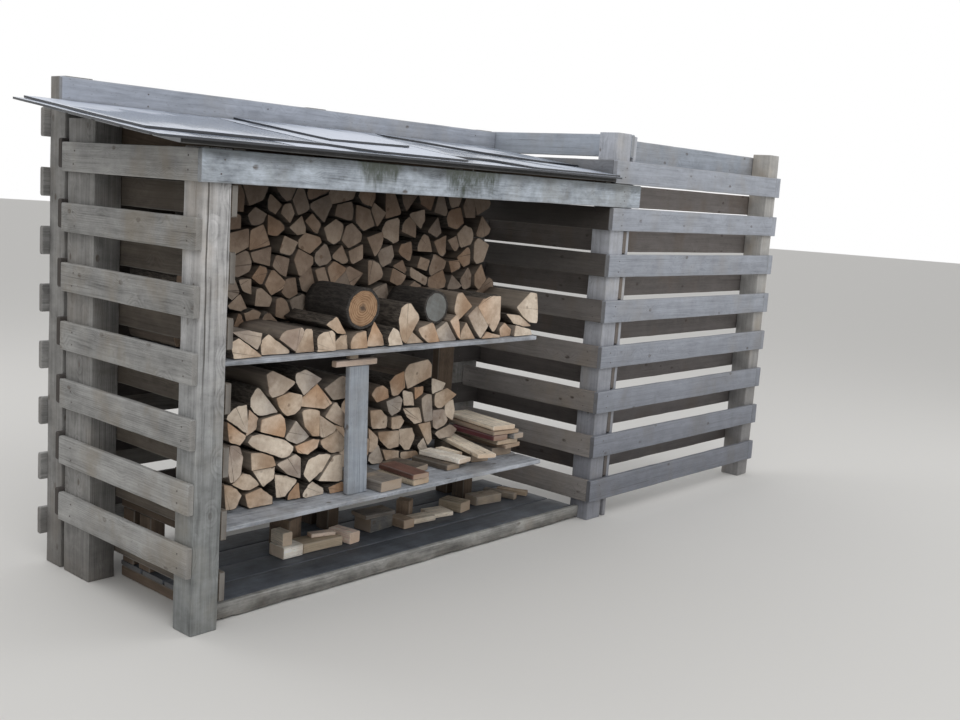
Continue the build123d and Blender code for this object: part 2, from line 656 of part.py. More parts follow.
with BuildPart() as upper_front_logs:
    for k, end in enumerate(upper_outlines[:-2]):
        log_bar(end, shelf_front + 10 + (k * 9) % 22, front_row_back)
upper_front_logs.part.label = "upper_front_logs"
export_step(upper_front_logs.part, "parts/upper_front_logs.step")

with BuildPart() as round_log:
    round_bar(round_log_x, upper_top + round_log_up, round_log_r, shelf_front + 17, front_row_back)
    with BuildSketch(Plane.XY.offset(upper_top + round_log_up - round_log_r - 5)):
        with Locations((round_log_x - mid_x, shelf_front + 17 - mid_y)):
            with BuildLine():
                Polyline((-round_log_r - 5, -5), (round_log_r, -5), (round_log_r, 0),
                         (-round_log_r - 5, round_log_cut), close=True)
            make_face()
    extrude(amount=2 * round_log_r + 10, mode=Mode.SUBTRACT)
round_log.part.label = "round_log"
export_step(round_log.part, "parts/round_log.step")

with BuildPart() as dark_log:
    round_bar(dark_log_x, upper_top + dark_log_up, dark_log_r, shelf_front + 46, front_row_back)
dark_log.part.label = "dark_log"
export_step(dark_log.part, "parts/dark_log.step")

# past the measured logs the stack goes on the same way, as far as the shelf does
rear_row = []
for start in (shelf_left, shelf_left + rear_row_repeat):
    for k, (x, z) in enumerate(upper_rear_middles):
        rear_row.append(round_end(start + x, upper_top + z, 46 + (k * 7) % 5, 7 + k % 2))

rear_outlines = stacked(rear_row, log_left, upper_shelf_end + log_past, upper_top + seat, rear_stack_top, 16)

with BuildPart() as upper_rear_logs:
    for k, end in enumerate(rear_outlines):
        log_bar(end, rear_row_front + (k * 7) % 19, rear_row_front + rear_log_len)
upper_rear_logs.part.label = "upper_rear_logs"
export_step(upper_rear_logs.part, "parts/upper_rear_logs.step")

# firewood on the lower shelf, either side of the middle post
split_x = mid_stack_x
left_stack_front = bearer_front + 4
right_stack_front = shelf_back - 252
lower_left_row = [placed(end, shelf_left, lower_top) for end in lower_left_ends]
lower_stack_top = upper_shelf_z - bearer_h - log_clear

left_outlines = stacked(lower_left_row, log_left, split_x, lower_top + seat, lower_stack_top, 7)

with BuildPart() as lower_left_logs:
    for k, end in enumerate(left_outlines):
        log_bar(end, left_stack_front + (k * 7) % 19, left_stack_front + lower_log_len)
lower_left_logs.part.label = "lower_left_logs"
export_step(lower_left_logs.part, "parts/lower_left_logs.step")

lower_right_row = [placed(end, shelf_left, lower_top) for end in lower_right_ends]
for x, z in lower_right_hidden:
    lower_right_row.append(round_end(shelf_left + x, lower_top + z, 36, 7))
right_stack_end = lower_shelf_end - 194

right_outlines = stacked(lower_right_row, split_x + 20, right_stack_end, lower_top + seat,
                         lower_stack_top, 10)
# the last logs of the stack lie on the back end of a long plank
over_plank = lower_top + 63 + seat
for k, end in enumerate(right_outlines):
    if reach(end, (-1, 0)) < plank_left - lower_shelf_end:
        right_outlines[k] = trimmed(end, (0, -1), -over_plank)

with BuildPart() as lower_right_logs:
    for k, end in enumerate(right_outlines):
        log_bar(end, right_stack_front + (k * 7) % 17, shelf_back - 14)
lower_right_logs.part.label = "lower_right_logs"
export_step(lower_right_logs.part, "parts/lower_right_logs.step")

# sawn offcuts: x from the right end of the lower shelf, y from its front edge, z from what carries them
with BuildPart() as plank_offcuts:
    for x, y, z, width, length, thick, turn in plank_pieces:
        offcut(lower_shelf_end + x, shelf_front + y, lower_top + seat + z, width, length, thick, turn)
plank_offcuts.part.label = "plank_offcuts"
export_step(plank_offcuts.part, "parts/plank_offcuts.step")

mid_post_right = mid_post_x + mid_post_w

with BuildPart() as block_offcuts:
    for x, y, z, width, length, thick, turn in block_pieces:
        offcut(mid_post_right + x, shelf_front + y, lower_top + seat + z, width, length, thick, turn)
block_offcuts.part.label = "block_offcuts"
export_step(block_offcuts.part, "parts/block_offcuts.step")

with BuildPart() as base_offcuts:
    for x, y, z, width, length, thick, turn in base_pieces:
        if x < deck_right - 60:
            offcut(x, shelf_front + y, base_top + seat + z, width, length, thick, turn)
base_offcuts.part.label = "base_offcuts"
export_step(base_offcuts.part, "parts/base_offcuts.step")
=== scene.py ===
"""Log store: sawn boards, split logs, roofing sheets and their finishes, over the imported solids."""
import itertools

import bpy
import numpy as np
from bpy.props import FloatProperty, FloatVectorProperty, IntProperty, PointerProperty
from mathutils import Matrix, Vector


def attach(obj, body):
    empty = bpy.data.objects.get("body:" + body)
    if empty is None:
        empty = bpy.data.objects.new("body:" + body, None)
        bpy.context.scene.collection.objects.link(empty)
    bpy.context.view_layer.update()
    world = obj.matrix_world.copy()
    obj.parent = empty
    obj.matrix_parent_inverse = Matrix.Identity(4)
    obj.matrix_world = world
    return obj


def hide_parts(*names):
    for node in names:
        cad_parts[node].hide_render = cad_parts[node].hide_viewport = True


bl_info = {
    "name": "Log Store",
    "version": (1, 0, 0),
    "blender": (4, 5, 0),
    "location": "3D Viewport > Sidebar > Log Store",
    "description": "Dresses a log store with sawn boards, split logs, roofing sheets and their finishes",
    "category": "Object",
}

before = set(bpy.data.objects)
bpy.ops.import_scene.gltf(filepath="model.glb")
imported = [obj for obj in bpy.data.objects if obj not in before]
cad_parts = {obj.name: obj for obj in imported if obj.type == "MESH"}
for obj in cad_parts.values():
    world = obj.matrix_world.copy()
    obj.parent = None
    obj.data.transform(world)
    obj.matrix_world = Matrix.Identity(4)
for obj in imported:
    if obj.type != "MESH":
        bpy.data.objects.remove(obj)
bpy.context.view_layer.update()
TURN = 2 * np.pi
UNDYED = (1, 1, 1)
SAME_PLACE = 2e-5  # metres within which two corners of a solid are one
SHEET = .007  # thickness of a roofing sheet
LEFT_POST = (1.6605, .427)  # how far the left post's front corner lies from the origin, in -x and -y
DRIPS = ((-.99, .13), (-.53, .19))  # middle and reach in x of each green run on the fascia
NAIL_HEIGHTS = (.28, .72)  # where a board's two nails go, as shares of its height
NAIL_STRAYS = (.008, .005)  # how far a nail strays along its board, and up or down
NAIL_MARGIN = .01  # least distance between a nail and its board's end
GROUPS, MATERIALS = {}, {}  # filled by the first operator

# The lamps: name, place, share of the key lamp's power, size
LAMPS = (("key", (-3.2, -4.2, 4.6), 1.0, 4.0), ("fill", (3.8, -3.6, 3.4), .42, 3.0),
         ("back", (-2.0, 3.6, 4.2), .5, 3.5))

# The camera, as solved from the photo's straight edges; the lens and its sensor are in millimetres
CAMERA_AT = (-3.5504, -3.1682, 1.40439)
CAMERA_AHEAD = (.7458, .6492, -.1492)
CAMERA_RIGHT = (.6628, -.7459, .0674)
LENS, SENSOR = 41.70, 36

# Colours that come with age; the split sides' pair also paints shade on the logs' tops and sides
FLECK, CHECK, SPLIT, KNOT = (.07, .065, .06), (.04, .036, .033), (.05, .043, .037), (.09, .07, .055)
END_GRAIN, RUBBED, ALGAE, MOSS = (.14, .12, .10), (.5, .5, .48), (.040, .050, .030), (.09, .105, .07)
LATE_RING, LOG_STREAK, LOG_PATCH = (.5, .38, .27), (.66, .58, .5), (.6, .55, .51)
PITH, CRACK, LOG_KNOT = (.06, .04, .03), (.05, .035, .025), (.14, .08, .045)
# the split sides' dark and pale: greyed fibre, and painted shade on the logs' tops and sides
SPLIT_SIDES = ((.06, .05, .042), (.17, .145, .12))
BROWN_BARK, BLACK_BARK = ((.028, .022, .018), (.13, .11, .09)), ((.014, .012, .011), (.06, .052, .046))
CHARRED_BARK = ((.014, .012, .011), (.065, .057, .05))
DUST, RAW_EDGE = (.6, .62, .64), (.02, .023, .03)
NAIL_STEEL, NAIL_RUST = (.17, .17, .175), (.11, .075, .055)


# The solids that the pieces start from

def solids(node):
    """The separate solids of a node, each as its own corner points. Points in one place are merged, and the
    lowest label is handed on along the triangles until every solid has a single one."""
    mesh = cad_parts[node].data
    points = np.empty(len(mesh.vertices) * 3, np.float32)
    mesh.vertices.foreach_get("co", points)
    points = points.reshape(-1, 3).astype(float)
    corners = np.empty(len(mesh.loops), np.int32)
    mesh.loops.foreach_get("vertex_index", corners)
    cells = np.round(points / SAME_PLACE).astype(np.int64)
    _, first, merged = np.unique(cells, axis=0, return_index=True, return_inverse=True)
    merged = merged.ravel()
    points = points[first]
    triangles = merged[corners].reshape(-1, 3)
    label = np.arange(len(first))
    while True:
        lower = label.copy()
        np.minimum.at(lower, triangles.ravel(), np.repeat(label[triangles].min(axis=1), 3))
        if (lower == label).all():
            break
        label = lower
    found, seen = np.unique(label[merged], return_index=True)
    return [points[label == k] for k in found[np.argsort(seen)]]


def edges_of(points, close=3e-4, flat=1e-9):
    """A box's corner and its three edges, longest first. The edges are the three of the seven steps to the
    other corners whose sums also end on corners; they are put in right-handed order."""
    start = points[0]
    steps = points[1:] - start
    for three in itertools.combinations(range(7), 3):
        a, b, c = steps[list(three)]
        sums = np.array([a + b, a + c, b + c, a + b + c])
        miss = np.abs(sums[:, None, :] - steps[None, :, :]).sum(axis=2).min(axis=1)
        if miss.max() < close and abs(np.dot(np.cross(a, b), c)) > flat:
            a, b, c = sorted((a, b, c), key=lambda e: -np.linalg.norm(e))
            if np.dot(np.cross(a, b), c) < 0:
                start, c = start + c, -c
            return start, a, b, c
    raise ValueError("a board's solid is not a box")


def shared(box, count, gap):
    """A slab's box as several boards side by side across its second edge, with a gap between them."""
    start, along, across, deep = box
    width = np.linalg.norm(across)
    unit = across / width
    each = (width - gap * (count - 1)) / count
    return [(start + unit * (each + gap) * k, along, unit * each, deep) for k in range(count)]


def flowing(rng, along, around, longest, waves=5):
    """A smooth random field from -1 to 1: sines of two parameters, each shorter than the last, summed."""
    total = 0.0
    for k in range(1, waves + 1):
        turn = TURN * along * (k + rng.uniform(-.3, .3)) / longest
        total = total + np.sin(turn + around * rng.integers(-2, 3) + rng.uniform(0, TURN)) / np.sqrt(k)
    return total / sum(1 / np.sqrt(k) for k in range(1, waves + 1))


def tube(rows, sides):
    """The numbers of a tube's points, row by row, and the four corners of each face between two rows."""
    index = np.arange(rows * sides).reshape(rows, sides)
    after = np.roll(index, -1, axis=1)
    return index, np.stack([index[:-1], after[:-1], after[1:], index[1:]], axis=-1)


class Heap:
    """Surfaces that end as one mesh: their points, their faces and the values that the finishes read."""

    def __init__(self):
        self.points, self.corners, self.sizes, self.smooth = [], [], [], []
        self.at_points = {"grain": [], "tint": [], "dye": [], "edge": [], "bark": []}
        self.cut = []
        self.count = 0

    def add(self, points, faces, smooth, cut, grain, tint, dye=UNDYED, edge=0.0, bark=0.0):
        """Adds one closed surface; faces is a list of whole arrays, one row of corners to each face."""
        points = np.asarray(points, float)
        n = len(points)
        self.points.append(points)
        for rows, soft, end in zip(faces, smooth, cut):
            rows = np.atleast_2d(rows)
            self.corners.append(rows.ravel() + self.count)
            self.sizes.append(np.full(len(rows), rows.shape[1]))
            self.smooth.append(np.full(len(rows), soft))
            self.cut.append(np.full(len(rows), float(end)))
        for name, value in (("grain", grain), ("tint", tint), ("dye", dye), ("edge", edge), ("bark", bark)):
            shape = (n,) if name in ("edge", "bark") else (n, 3)
            self.at_points[name].append(np.broadcast_to(np.asarray(value, float), shape))
        self.count += n

    def mesh(self, name):
        """The mesh of everything added, with a vector or a number at each point and a number on each face."""
        mesh = bpy.data.meshes.new(name)
        corners = np.concatenate(self.corners).astype(np.int32)
        sizes = np.concatenate(self.sizes)
        mesh.vertices.add(self.count)
        mesh.vertices.foreach_set("co", np.concatenate(self.points).astype(np.float32).ravel())
        mesh.loops.add(len(corners))
        mesh.loops.foreach_set("vertex_index", corners)
        mesh.polygons.add(len(sizes))
        mesh.polygons.foreach_set("loop_start", (np.cumsum(sizes) - sizes).astype(np.int32))
        mesh.polygons.foreach_set("use_smooth", np.concatenate(self.smooth).astype(bool))
        for key, rows in self.at_points.items():
            values = np.concatenate(rows).astype(np.float32)
            vector = values.ndim == 2
            layer = mesh.attributes.new(key, "FLOAT_VECTOR" if vector else "FLOAT", "POINT")
            layer.data.foreach_set("vector" if vector else "value", values.ravel())
        layer = mesh.attributes.new("cut", "FLOAT", "FACE")
        layer.data.foreach_set("value", np.concatenate(self.cut).astype(np.float32))
        mesh.update(calc_edges=True)
        mesh.validate()
        return mesh


def section(width, thick, arris, near=.003, apart=.04):
    """A rectangle with rounded corners, walked once round: across, deep and a mark at the corners. Points
    near each corner keep the flat faces flat under smooth shading."""
    quarter = np.array([0, .5, 1]) * TURN / 4
    a, b, corner = [], [], []
    middles = ((width - arris, arris), (width - arris, thick - arris), (arris, thick - arris), (arris, arris))
    for k, (ca, cb) in enumerate(middles):
        turn = quarter + (k - 1) * TURN / 4
        side = (thick, width)[k % 2] - 2 * arris
        inner = np.array([])
        if side > 4 * near:
            even = np.linspace(0, side, max(0, int(side / apart) - 1) + 2)[1:-1]
            inner = np.concatenate([[near], even, [side - near]])
        last, way = turn[-1], turn[-1] + TURN / 4
        a += [ca + arris * np.cos(turn), ca + arris * np.cos(last) + inner * np.cos(way)]
        b += [cb + arris * np.sin(turn), cb + arris * np.sin(last) + inner * np.sin(way)]
        corner += [np.ones(3), np.zeros(len(inner))]
    return np.concatenate(a), np.concatenate(b), np.concatenate(corner)


def board(heap, box, rng, arris=.0022, worn=.0012, step=.07, ragged=None, dye=UNDYED):
    """A sawn board: a rectangle with rounded corners, p(s), carried along the board's long edge u. Each point
    moves inward by a smooth field of u and s, and more at the corners, where splinters have gone. ragged is
    (which way, how far): points on that side of the section also draw back by a rougher field of u."""
    start, along, across, deep = box
    length, width, thick = (np.linalg.norm(e) for e in (along, across, deep))
    u, v, w = along / length, across / width, deep / thick
    arris = min(arris, thick * .25)
    a, b, corner = section(width, thick, arris)
    m = len(a)
    bevel, crisp = arris * .8, .003
    t = np.linspace(0, length, max(3, int(length / step)) + 1)[1:-1]
    t = np.concatenate([[0, bevel, bevel + crisp], t, [length - bevel - crisp, length - bevel, length]])
    around = np.arange(m) / m * TURN
    field = .5 + .5 * flowing(rng, t[:, None], around[None, :], rng.uniform(.5, 1.1))
    drop = worn * field * (1 + corner * .8)
    ends = np.ones(len(t))
    ends[[0, -1]] = 1 - arris * .6 / max(thick, .02)
    toward_a = np.clip((a - width / 2) / (width / 2), -1, 1)
    toward_b = np.clip((b - thick / 2) / (thick / 2), -1, 1)
    aa = width / 2 + (a - width / 2) * ends[:, None] - toward_a ** 3 * drop
    bb = thick / 2 + (b - thick / 2) * ends[:, None] - toward_b ** 3 * drop
    if ragged is not None:
        way, far = ragged
        side = np.clip(np.array([np.dot(v, way), np.dot(w, way)]), -1, 1)
        rough = far * (.5 + .5 * flowing(rng, t, 0, .5, 9))[:, None]
        aa = aa - side[0] * rough * np.clip(toward_a * side[0], 0, 1)
        bb = bb - side[1] * rough * np.clip(toward_b * side[1], 0, 1)
    tt = np.broadcast_to(t[:, None], aa.shape)
    points = start + tt[..., None] * u + aa[..., None] * v + bb[..., None] * w
    index, sides = tube(len(t), m)
    pith = (rng.uniform(-.2, 1.2) * width, -rng.uniform(.3, 2.2) * max(thick, .03))
    grain = np.stack([tt + rng.uniform(-9, 9), aa - pith[0], bb - pith[1]], axis=-1).reshape(-1, 3)
    edge = np.broadcast_to(corner, aa.shape).ravel()
    faces = [sides.reshape(-1, 4), index[0][::-1], index[-1]]
    heap.add(points.reshape(-1, 3), faces, [True, False, False], [0, 1, 1], grain, rng.uniform(0, 1, 3), dye,
             edge=edge)


def outline_of(normals, limits, middle, sides, arc=None, looks=1440, edge_on=1e-6, endless=9.0):
    """Steps along a convex outline. Its distance from the middle in each direction is the least that its
    straight sides allow, each its own distance over the cosine of the turn from its normal, or that a circle
    round the pith allows. The steps are even, but one lies on every corner. Also gives each step's side."""
    turn = np.arange(looks) / looks * TURN
    way = np.stack([np.cos(turn), np.sin(turn)])
    facing = normals @ way
    far = (limits - normals @ middle)[:, None] / np.maximum(facing, edge_on)
    far = np.where(facing > edge_on, far, endless)
    if arc is not None:
        centre, radius = arc
        off = middle - centre
        b = off @ way
        far = np.vstack([far, -b + np.sqrt(np.maximum(b * b - off @ off + radius ** 2, 0))])
    side = far.argmin(axis=0)
    spots = middle + (far.min(axis=0) * way).T
    walked = np.cumsum(np.linalg.norm(np.roll(spots, -1, axis=0) - spots, axis=1))
    even = np.searchsorted(walked, (np.arange(sides) + .5) / sides * walked[-1])
    corner = np.nonzero(side != np.roll(side, 1))[0]
    even[np.abs(walked[even][:, None] - walked[corner][None, :]).argmin(axis=0)] = corner
    even = np.unique(even)
    return spots[even], side[even]


def log_end(solid, tiny=1e-4, short=2e-4):
    """The near end of a log's solid: the front and the back in y, how the front slopes with x, the middle,
    the corners in order and the direction of the side after each."""
    back = solid[:, 1].max()
    near = solid[solid[:, 1] < back - tiny]
    flat = np.ptp(near[:, 1]) <= tiny
    slope, front = (0.0, near[0, 1]) if flat else np.polyfit(near[:, 0], near[:, 1], 1)
    face = near[:, [0, 2]]
    middle = face.mean(axis=0)
    face = face[np.argsort(np.arctan2(face[:, 1] - middle[1], face[:, 0] - middle[0]))]
    ahead = np.roll(face, -1, axis=0) - face
    length = np.linalg.norm(ahead, axis=1)
    whole = length > short
    return front + slope * middle[0], back, slope, middle, face[whole], ahead[whole] / length[whole][:, None]


def log_outline(rng, face, unit, middle, shape, shrink, wedges=.72, narrow=31, wide=57):
    """What bounds a log's end: its sides' normals and distances, an arc of bark, the pith and which of the
    sides are riven. A round log has its pith near the middle and no riven side. Most of a stack of wedges are
    cut by two planes through a pith at the rim. Any other log keeps its outline, with its sharpest corner as
    the pith."""
    normals = np.stack([unit[:, 1], -unit[:, 0]], axis=1)
    limits = np.einsum("ij,ij->i", normals, face)
    if shape == "round":
        pith, arc, riven = middle + rng.uniform(-.012, .012, 2), None, []
        shrink = shrink * .2
    elif shape == "wedge" and rng.uniform() < wedges:
        turn = rng.uniform(0, TURN)
        away = np.array([np.cos(turn), np.sin(turn)])
        facing = normals @ away
        ahead = facing > 1e-6
        room = (limits - normals @ middle) / np.where(ahead, facing, 1e9)
        pith = middle + away * np.where(ahead, room, 9).min() * .96
        half = np.radians(rng.uniform(narrow, wide, 2))
        cut_turn = turn + np.pi + half * np.array([1, -1])
        cut = np.stack([-np.sin(cut_turn) * [1, -1], np.cos(cut_turn) * [1, -1]], axis=1)
        riven = [len(normals), len(normals) + 1]
        normals, limits = np.vstack([normals, cut]), np.concatenate([limits, cut @ pith])
        arc = (pith, np.linalg.norm(face - pith, axis=1).max() * rng.uniform(.86, .97))
    else:
        sharp = int(np.argmin(np.einsum("ij,ij->i", unit, np.roll(unit, 1, axis=0))))
        pith, riven = face[sharp], [sharp, (sharp - 1) % len(face)]
        arc = (pith, np.linalg.norm(face - pith, axis=1).max() * rng.uniform(.94, .99))
    limits = limits - shrink * rng.uniform(.4, 1.8, len(limits))
    return normals, limits, arc, pith, riven


def split_log(heap, solid, rng, sides, rings=(.35, .68, .93), steps=4, shrink=.0016, shape="measured",
              barked=.6, rough=.0012, furrow=.0016, saw_mark=.0012, tilted=.07, squared=.03):
    """A split log lying along +Y: its outline is walked at even steps s and carried back along y, and each
    point draws inward by a field of s and y, finer on the bark. The end is closed by smaller copies of the
    outline round its middle, on a sawn plane that tilts a little and is squared up further back."""
    front, back, slope, middle, face, unit = log_end(solid)
    normals, limits, arc, pith, riven = log_outline(rng, face, unit, middle, shape, shrink)
    outline, side = outline_of(normals, limits, middle, sides, arc)
    outline = outline * .84 + (np.roll(outline, 1, 0) + np.roll(outline, -1, 0)) * .08
    m = len(outline)
    bark = ~np.isin(side, riven) * float(shape == "round" or rng.uniform() < barked)
    depth = back - front
    rows = [(q, 0.0) for q in rings] + [(.985, 0.0), (1.0, min(.003, depth * .02))]
    rows += [(1.0, y) for y in np.linspace(0, depth, steps + 1)[1:]]
    q, y = np.array(rows)[:, :1], np.array(rows)[:, 1:]
    around = np.arange(m) / m * TURN
    outward = outline - middle
    far = np.linalg.norm(outward, axis=1)
    field = .5 + .5 * flowing(rng, np.broadcast_to(y, (len(rows), m)), 2 * around[None, :], .5)
    fine = .5 + .5 * np.sin(around * rng.integers(7, 12) + rng.uniform(0, TURN) + 14 * y)
    drop = (rough * field + furrow * fine * bark) * np.clip(q, 0, 1)
    scale = q * (1 - drop / np.maximum(far, .008))
    across = middle[0] + outward[:, 0] * scale
    up = middle[1] + outward[:, 1] * scale
    tilt = rng.uniform(-tilted, tilted, 2)
    lean = (across - middle[0]) * tilt[0] + (up - middle[1]) * tilt[1]
    lean = lean + saw_mark * (.5 + .5 * np.sin(up * 260 + across * 90)) * (q < .95)
    lean = (lean - lean.min()) * np.clip(1 - y / squared, 0, 1)
    yy = front + y + (lean + slope * (across - middle[0])) * (1 - y / depth)
    hub = np.array([[middle[0], float(yy[0].mean()), middle[1]]])
    points = np.concatenate([np.stack([across, yy, up], axis=-1).reshape(-1, 3), hub])
    index, quads = tube(len(rows), m)
    quads = quads[..., [0, 3, 2, 1]]
    cap = len(rings) + 1
    fan = np.stack([np.full(m, len(rows) * m), index[0], np.roll(index[0], -1)], axis=-1)
    faces = [fan, quads[:cap].reshape(-1, 4), quads[cap:].reshape(-1, 4), index[-1][::-1]]
    along = points[:, 1] + rng.uniform(-9, 9)
    grain = np.stack([along, points[:, 0] - pith[0], points[:, 2] - pith[1]], axis=-1)
    rim = np.append((bark[None, :] * (q > (.88 if shape == "round" else .97))).ravel(), 0.0)
    heap.add(points, faces, [False, False, True, False], [1, 1, 0, 1], grain, rng.uniform(0, 1, 3), bark=rim)


def domed(heap, spots, ways, radius=.0026, height=.001, sides=8):
    """Nail heads: low domes of a rim, a raised ring and a tip, each with its axis along its own way."""
    spots, ways = np.asarray(spots, float), np.asarray(ways, float)
    first = np.cross(ways, np.where(np.abs(ways[:, 2:]) > .9, [[1.0, 0, 0]], [[0, 0, 1.0]]))
    first /= np.linalg.norm(first, axis=1)[:, None]
    second = np.cross(ways, first)
    turn = np.arange(sides) / sides * TURN
    circle = np.cos(turn)[:, None] * first[:, None, :] + np.sin(turn)[:, None] * second[:, None, :]
    out = np.array([1, 1, .7])[None, :, None, None] * radius
    up = np.array([-.5, .4, 1])[None, :, None, None] * height
    rows = (spots[:, None, None, :] + out * circle[:, None] + up * ways[:, None, None, :]).reshape(-1, 3)
    index, quads = tube(3, sides)
    each = np.arange(len(spots))[:, None, None] * 3 * sides
    faces = [(quads.reshape(1, -1, 4) + each).reshape(-1, 4), (index[2] + each).reshape(-1, sides),
             (index[0][::-1] + each).reshape(-1, sides)]
    heap.add(rows, faces, [True, False, False], [0, 0, 0], rows, (.5, .5, .5))


def front_edge(plan):
    """A sheet's outline, seen from above, as the line of its front edge and the two ends of its back edge.
    The sheet's sides, which run more along y than along x, are left out of the line."""
    middle = plan.mean(axis=0)
    plan = plan[np.argsort(np.arctan2(plan[:, 1] - middle[1], plan[:, 0] - middle[0]))]
    behind = np.argsort(-plan[:, 1])[:2]
    right = int(max(behind, key=lambda k: plan[k, 0]))
    left = int(min(behind, key=lambda k: plan[k, 0]))
    count = len(plan)
    line = plan[[(left + k) % count for k in range((right - left) % count + 1)]]

    def sideways(a, b):
        return abs(a[0] - b[0]) < abs(a[1] - b[1])

    if len(line) > 2 and sideways(line[0], line[1]):
        line = line[1:]
    if len(line) > 2 and sideways(line[-1], line[-2]):
        line = line[:-1]
    return line, plan[left], plan[right]


def roofing(heap, solid, rng, lift, columns=26, rows=20, sag=.0016):
    """A roofing sheet: a ruled surface between its front edge, a bent line, and its straight back edge, both
    walked by the same share s. It has the sheet's thickness, sags a little in x and y, and curls up towards
    its free front edge, near which its rows lie closer."""
    above = solid[:, 2] - np.polyval(np.polyfit(solid[:, 1], solid[:, 2], 1), solid[:, 1]) > 0
    line, left, right = front_edge(solid[above])
    walked = np.concatenate([[0], np.cumsum(np.linalg.norm(np.diff(line[:, :2], axis=0), axis=1))])
    s = np.linspace(0, 1, columns)
    ahead = np.stack([np.interp(s * walked[-1], walked, line[:, k]) for k in range(3)], axis=-1)
    behind = left + s[:, None] * (right - left)
    v = np.linspace(0, 1, rows) ** 1.3
    top = ahead[None] * (1 - v[:, None, None]) + behind[None] * v[:, None, None]
    wave = flowing(rng, top[..., 0], top[..., 1] * 9, .9)
    curl = lift * np.exp(-v / .06)[:, None] * (.5 + .5 * flowing(rng, top[..., 0], 0, .55))
    top[..., 2] += curl - sag * (.5 + .5 * wave) * (1 - np.exp(-v / .1))[:, None]
    under = top - np.array([0, 0, SHEET])
    index = np.arange(rows * columns).reshape(rows, columns)
    upper = np.stack([index[:-1, :-1], index[:-1, 1:], index[1:, 1:], index[1:, :-1]], axis=-1).reshape(-1, 4)
    lower = upper[:, [0, 3, 2, 1]] + rows * columns
    ring = np.concatenate([index[0, :-1], index[:-1, -1], index[-1, :0:-1], index[:0:-1, 0]])
    after = np.roll(ring, -1)
    rim = np.stack([ring, ring + rows * columns, after + rows * columns, after], axis=-1)
    points = np.concatenate([top.reshape(-1, 3), under.reshape(-1, 3)])
    grain = points + rng.uniform(-9, 9, 3)
    near = np.tile(np.repeat(np.exp(-v / .02), columns), 2)
    tint = rng.uniform(0, 1, 3)
    heap.add(points, [upper, lower, rim], [True, True, False], [0, 0, 1], grain, tint, edge=near)


# Shader nodes

class Wire:
    """A socket that a node puts out. Adding, subtracting or multiplying it makes the node that does so."""

    def __init__(self, socket):
        self.socket = socket

    def __add__(self, other):
        return maths("ADD", self, other)

    def __sub__(self, other):
        return maths("SUBTRACT", self, other)

    def __rsub__(self, other):
        return maths("SUBTRACT", other, self)

    def __mul__(self, other):
        return maths("MULTIPLY", self, other)

    def swing(self, amount):
        """A noise between 0 and 1 as a swing either way."""
        return (self - .5) * amount

    def step(self, low, high, to_low=0.0, to_high=1.0):
        """A smooth step from one range of numbers to another."""
        made = make("ShaderNodeMapRange", {0: self, 1: low, 2: high, 3: to_low, 4: to_high},
                    interpolation_type="SMOOTHSTEP", clamp=True)
        return Wire(made.outputs[0])

    def parts(self):
        """The three parts of a vector."""
        return [Wire(socket) for socket in make("ShaderNodeSeparateXYZ", {0: self}).outputs]

    def scaled(self, scale):
        """A vector with its three parts multiplied."""
        return Wire(make("ShaderNodeVectorMath", {0: self, 1: scale}, operation="MULTIPLY").outputs[0])

    def cloud(self, scale, detail=3.0, rough=.55, distortion=0.0):
        """Fractal noise between 0 and 1; scale is one number, or one for each part of the vector."""
        vector, scale = (self.scaled(scale), 1.0) if isinstance(scale, tuple) else (self, scale)
        made = make("ShaderNodeTexNoise", {"Vector": vector, "Scale": scale, "Detail": detail,
                                           "Roughness": rough, "Distortion": distortion})
        return Wire(made.outputs["Fac"])


def wires(node):
    return {socket.name: Wire(socket) for socket in node.outputs if socket.name}


def feed(node, inputs):
    """Links or sets a node's inputs, which go by name or number."""
    for key, value in inputs.items():
        socket = node.inputs[key]
        if isinstance(value, Wire):
            node.id_data.links.new(value.socket, socket)
        else:
            socket.default_value = (*value, 1)[:4] if socket.type == "RGBA" else value


def tree_of(values):
    """The tree that the first wire among some values belongs to."""
    return next(value.socket.id_data for value in values if isinstance(value, Wire))


def make(kind, inputs, tree=None, **traits):
    """A node with its traits and inputs, in the tree given or else in that of its first wire."""
    made = (tree or tree_of(inputs.values())).nodes.new(kind)
    for key, value in traits.items():
        setattr(made, key, value)
    feed(made, inputs)
    return made


def maths(operation, a, b=0.0):
    return Wire(make("ShaderNodeMath", {0: a, 1: b}, operation=operation).outputs[0])


def blend(factor, a, b, how="MIX"):
    """Two colours mixed, or the first multiplied by the second, as far as a factor goes."""
    made = make("ShaderNodeMix", {}, tree_of((factor, a, b)), data_type="RGBA", blend_type=how,
                clamp_factor=True)
    feed(made, {0: factor, 6: a, 7: b})
    return Wire(made.outputs[2])


def group(name, vectors, colours, numbers, outputs, fill):
    """A shader node group, with its inputs by kind, numbers with their defaults, and its outputs by name and
    kind. fill makes the nodes from the wires of the inputs and gives the wires of the outputs."""
    tree = bpy.data.node_groups.new(name, "ShaderNodeTree")
    for label in vectors:
        tree.interface.new_socket(label, in_out="INPUT", socket_type="NodeSocketVector")
    for label in colours:
        tree.interface.new_socket(label, in_out="INPUT", socket_type="NodeSocketColor")
    for label, value in numbers.items():
        socket = tree.interface.new_socket(label, in_out="INPUT", socket_type="NodeSocketFloat")
        socket.default_value = value
    for label, kind in outputs.items():
        tree.interface.new_socket(label, in_out="OUTPUT", socket_type="NodeSocket" + kind)
    source, sink = tree.nodes.new("NodeGroupInput"), tree.nodes.new("NodeGroupOutput")
    feed(sink, fill(wires(source)))
    return tree


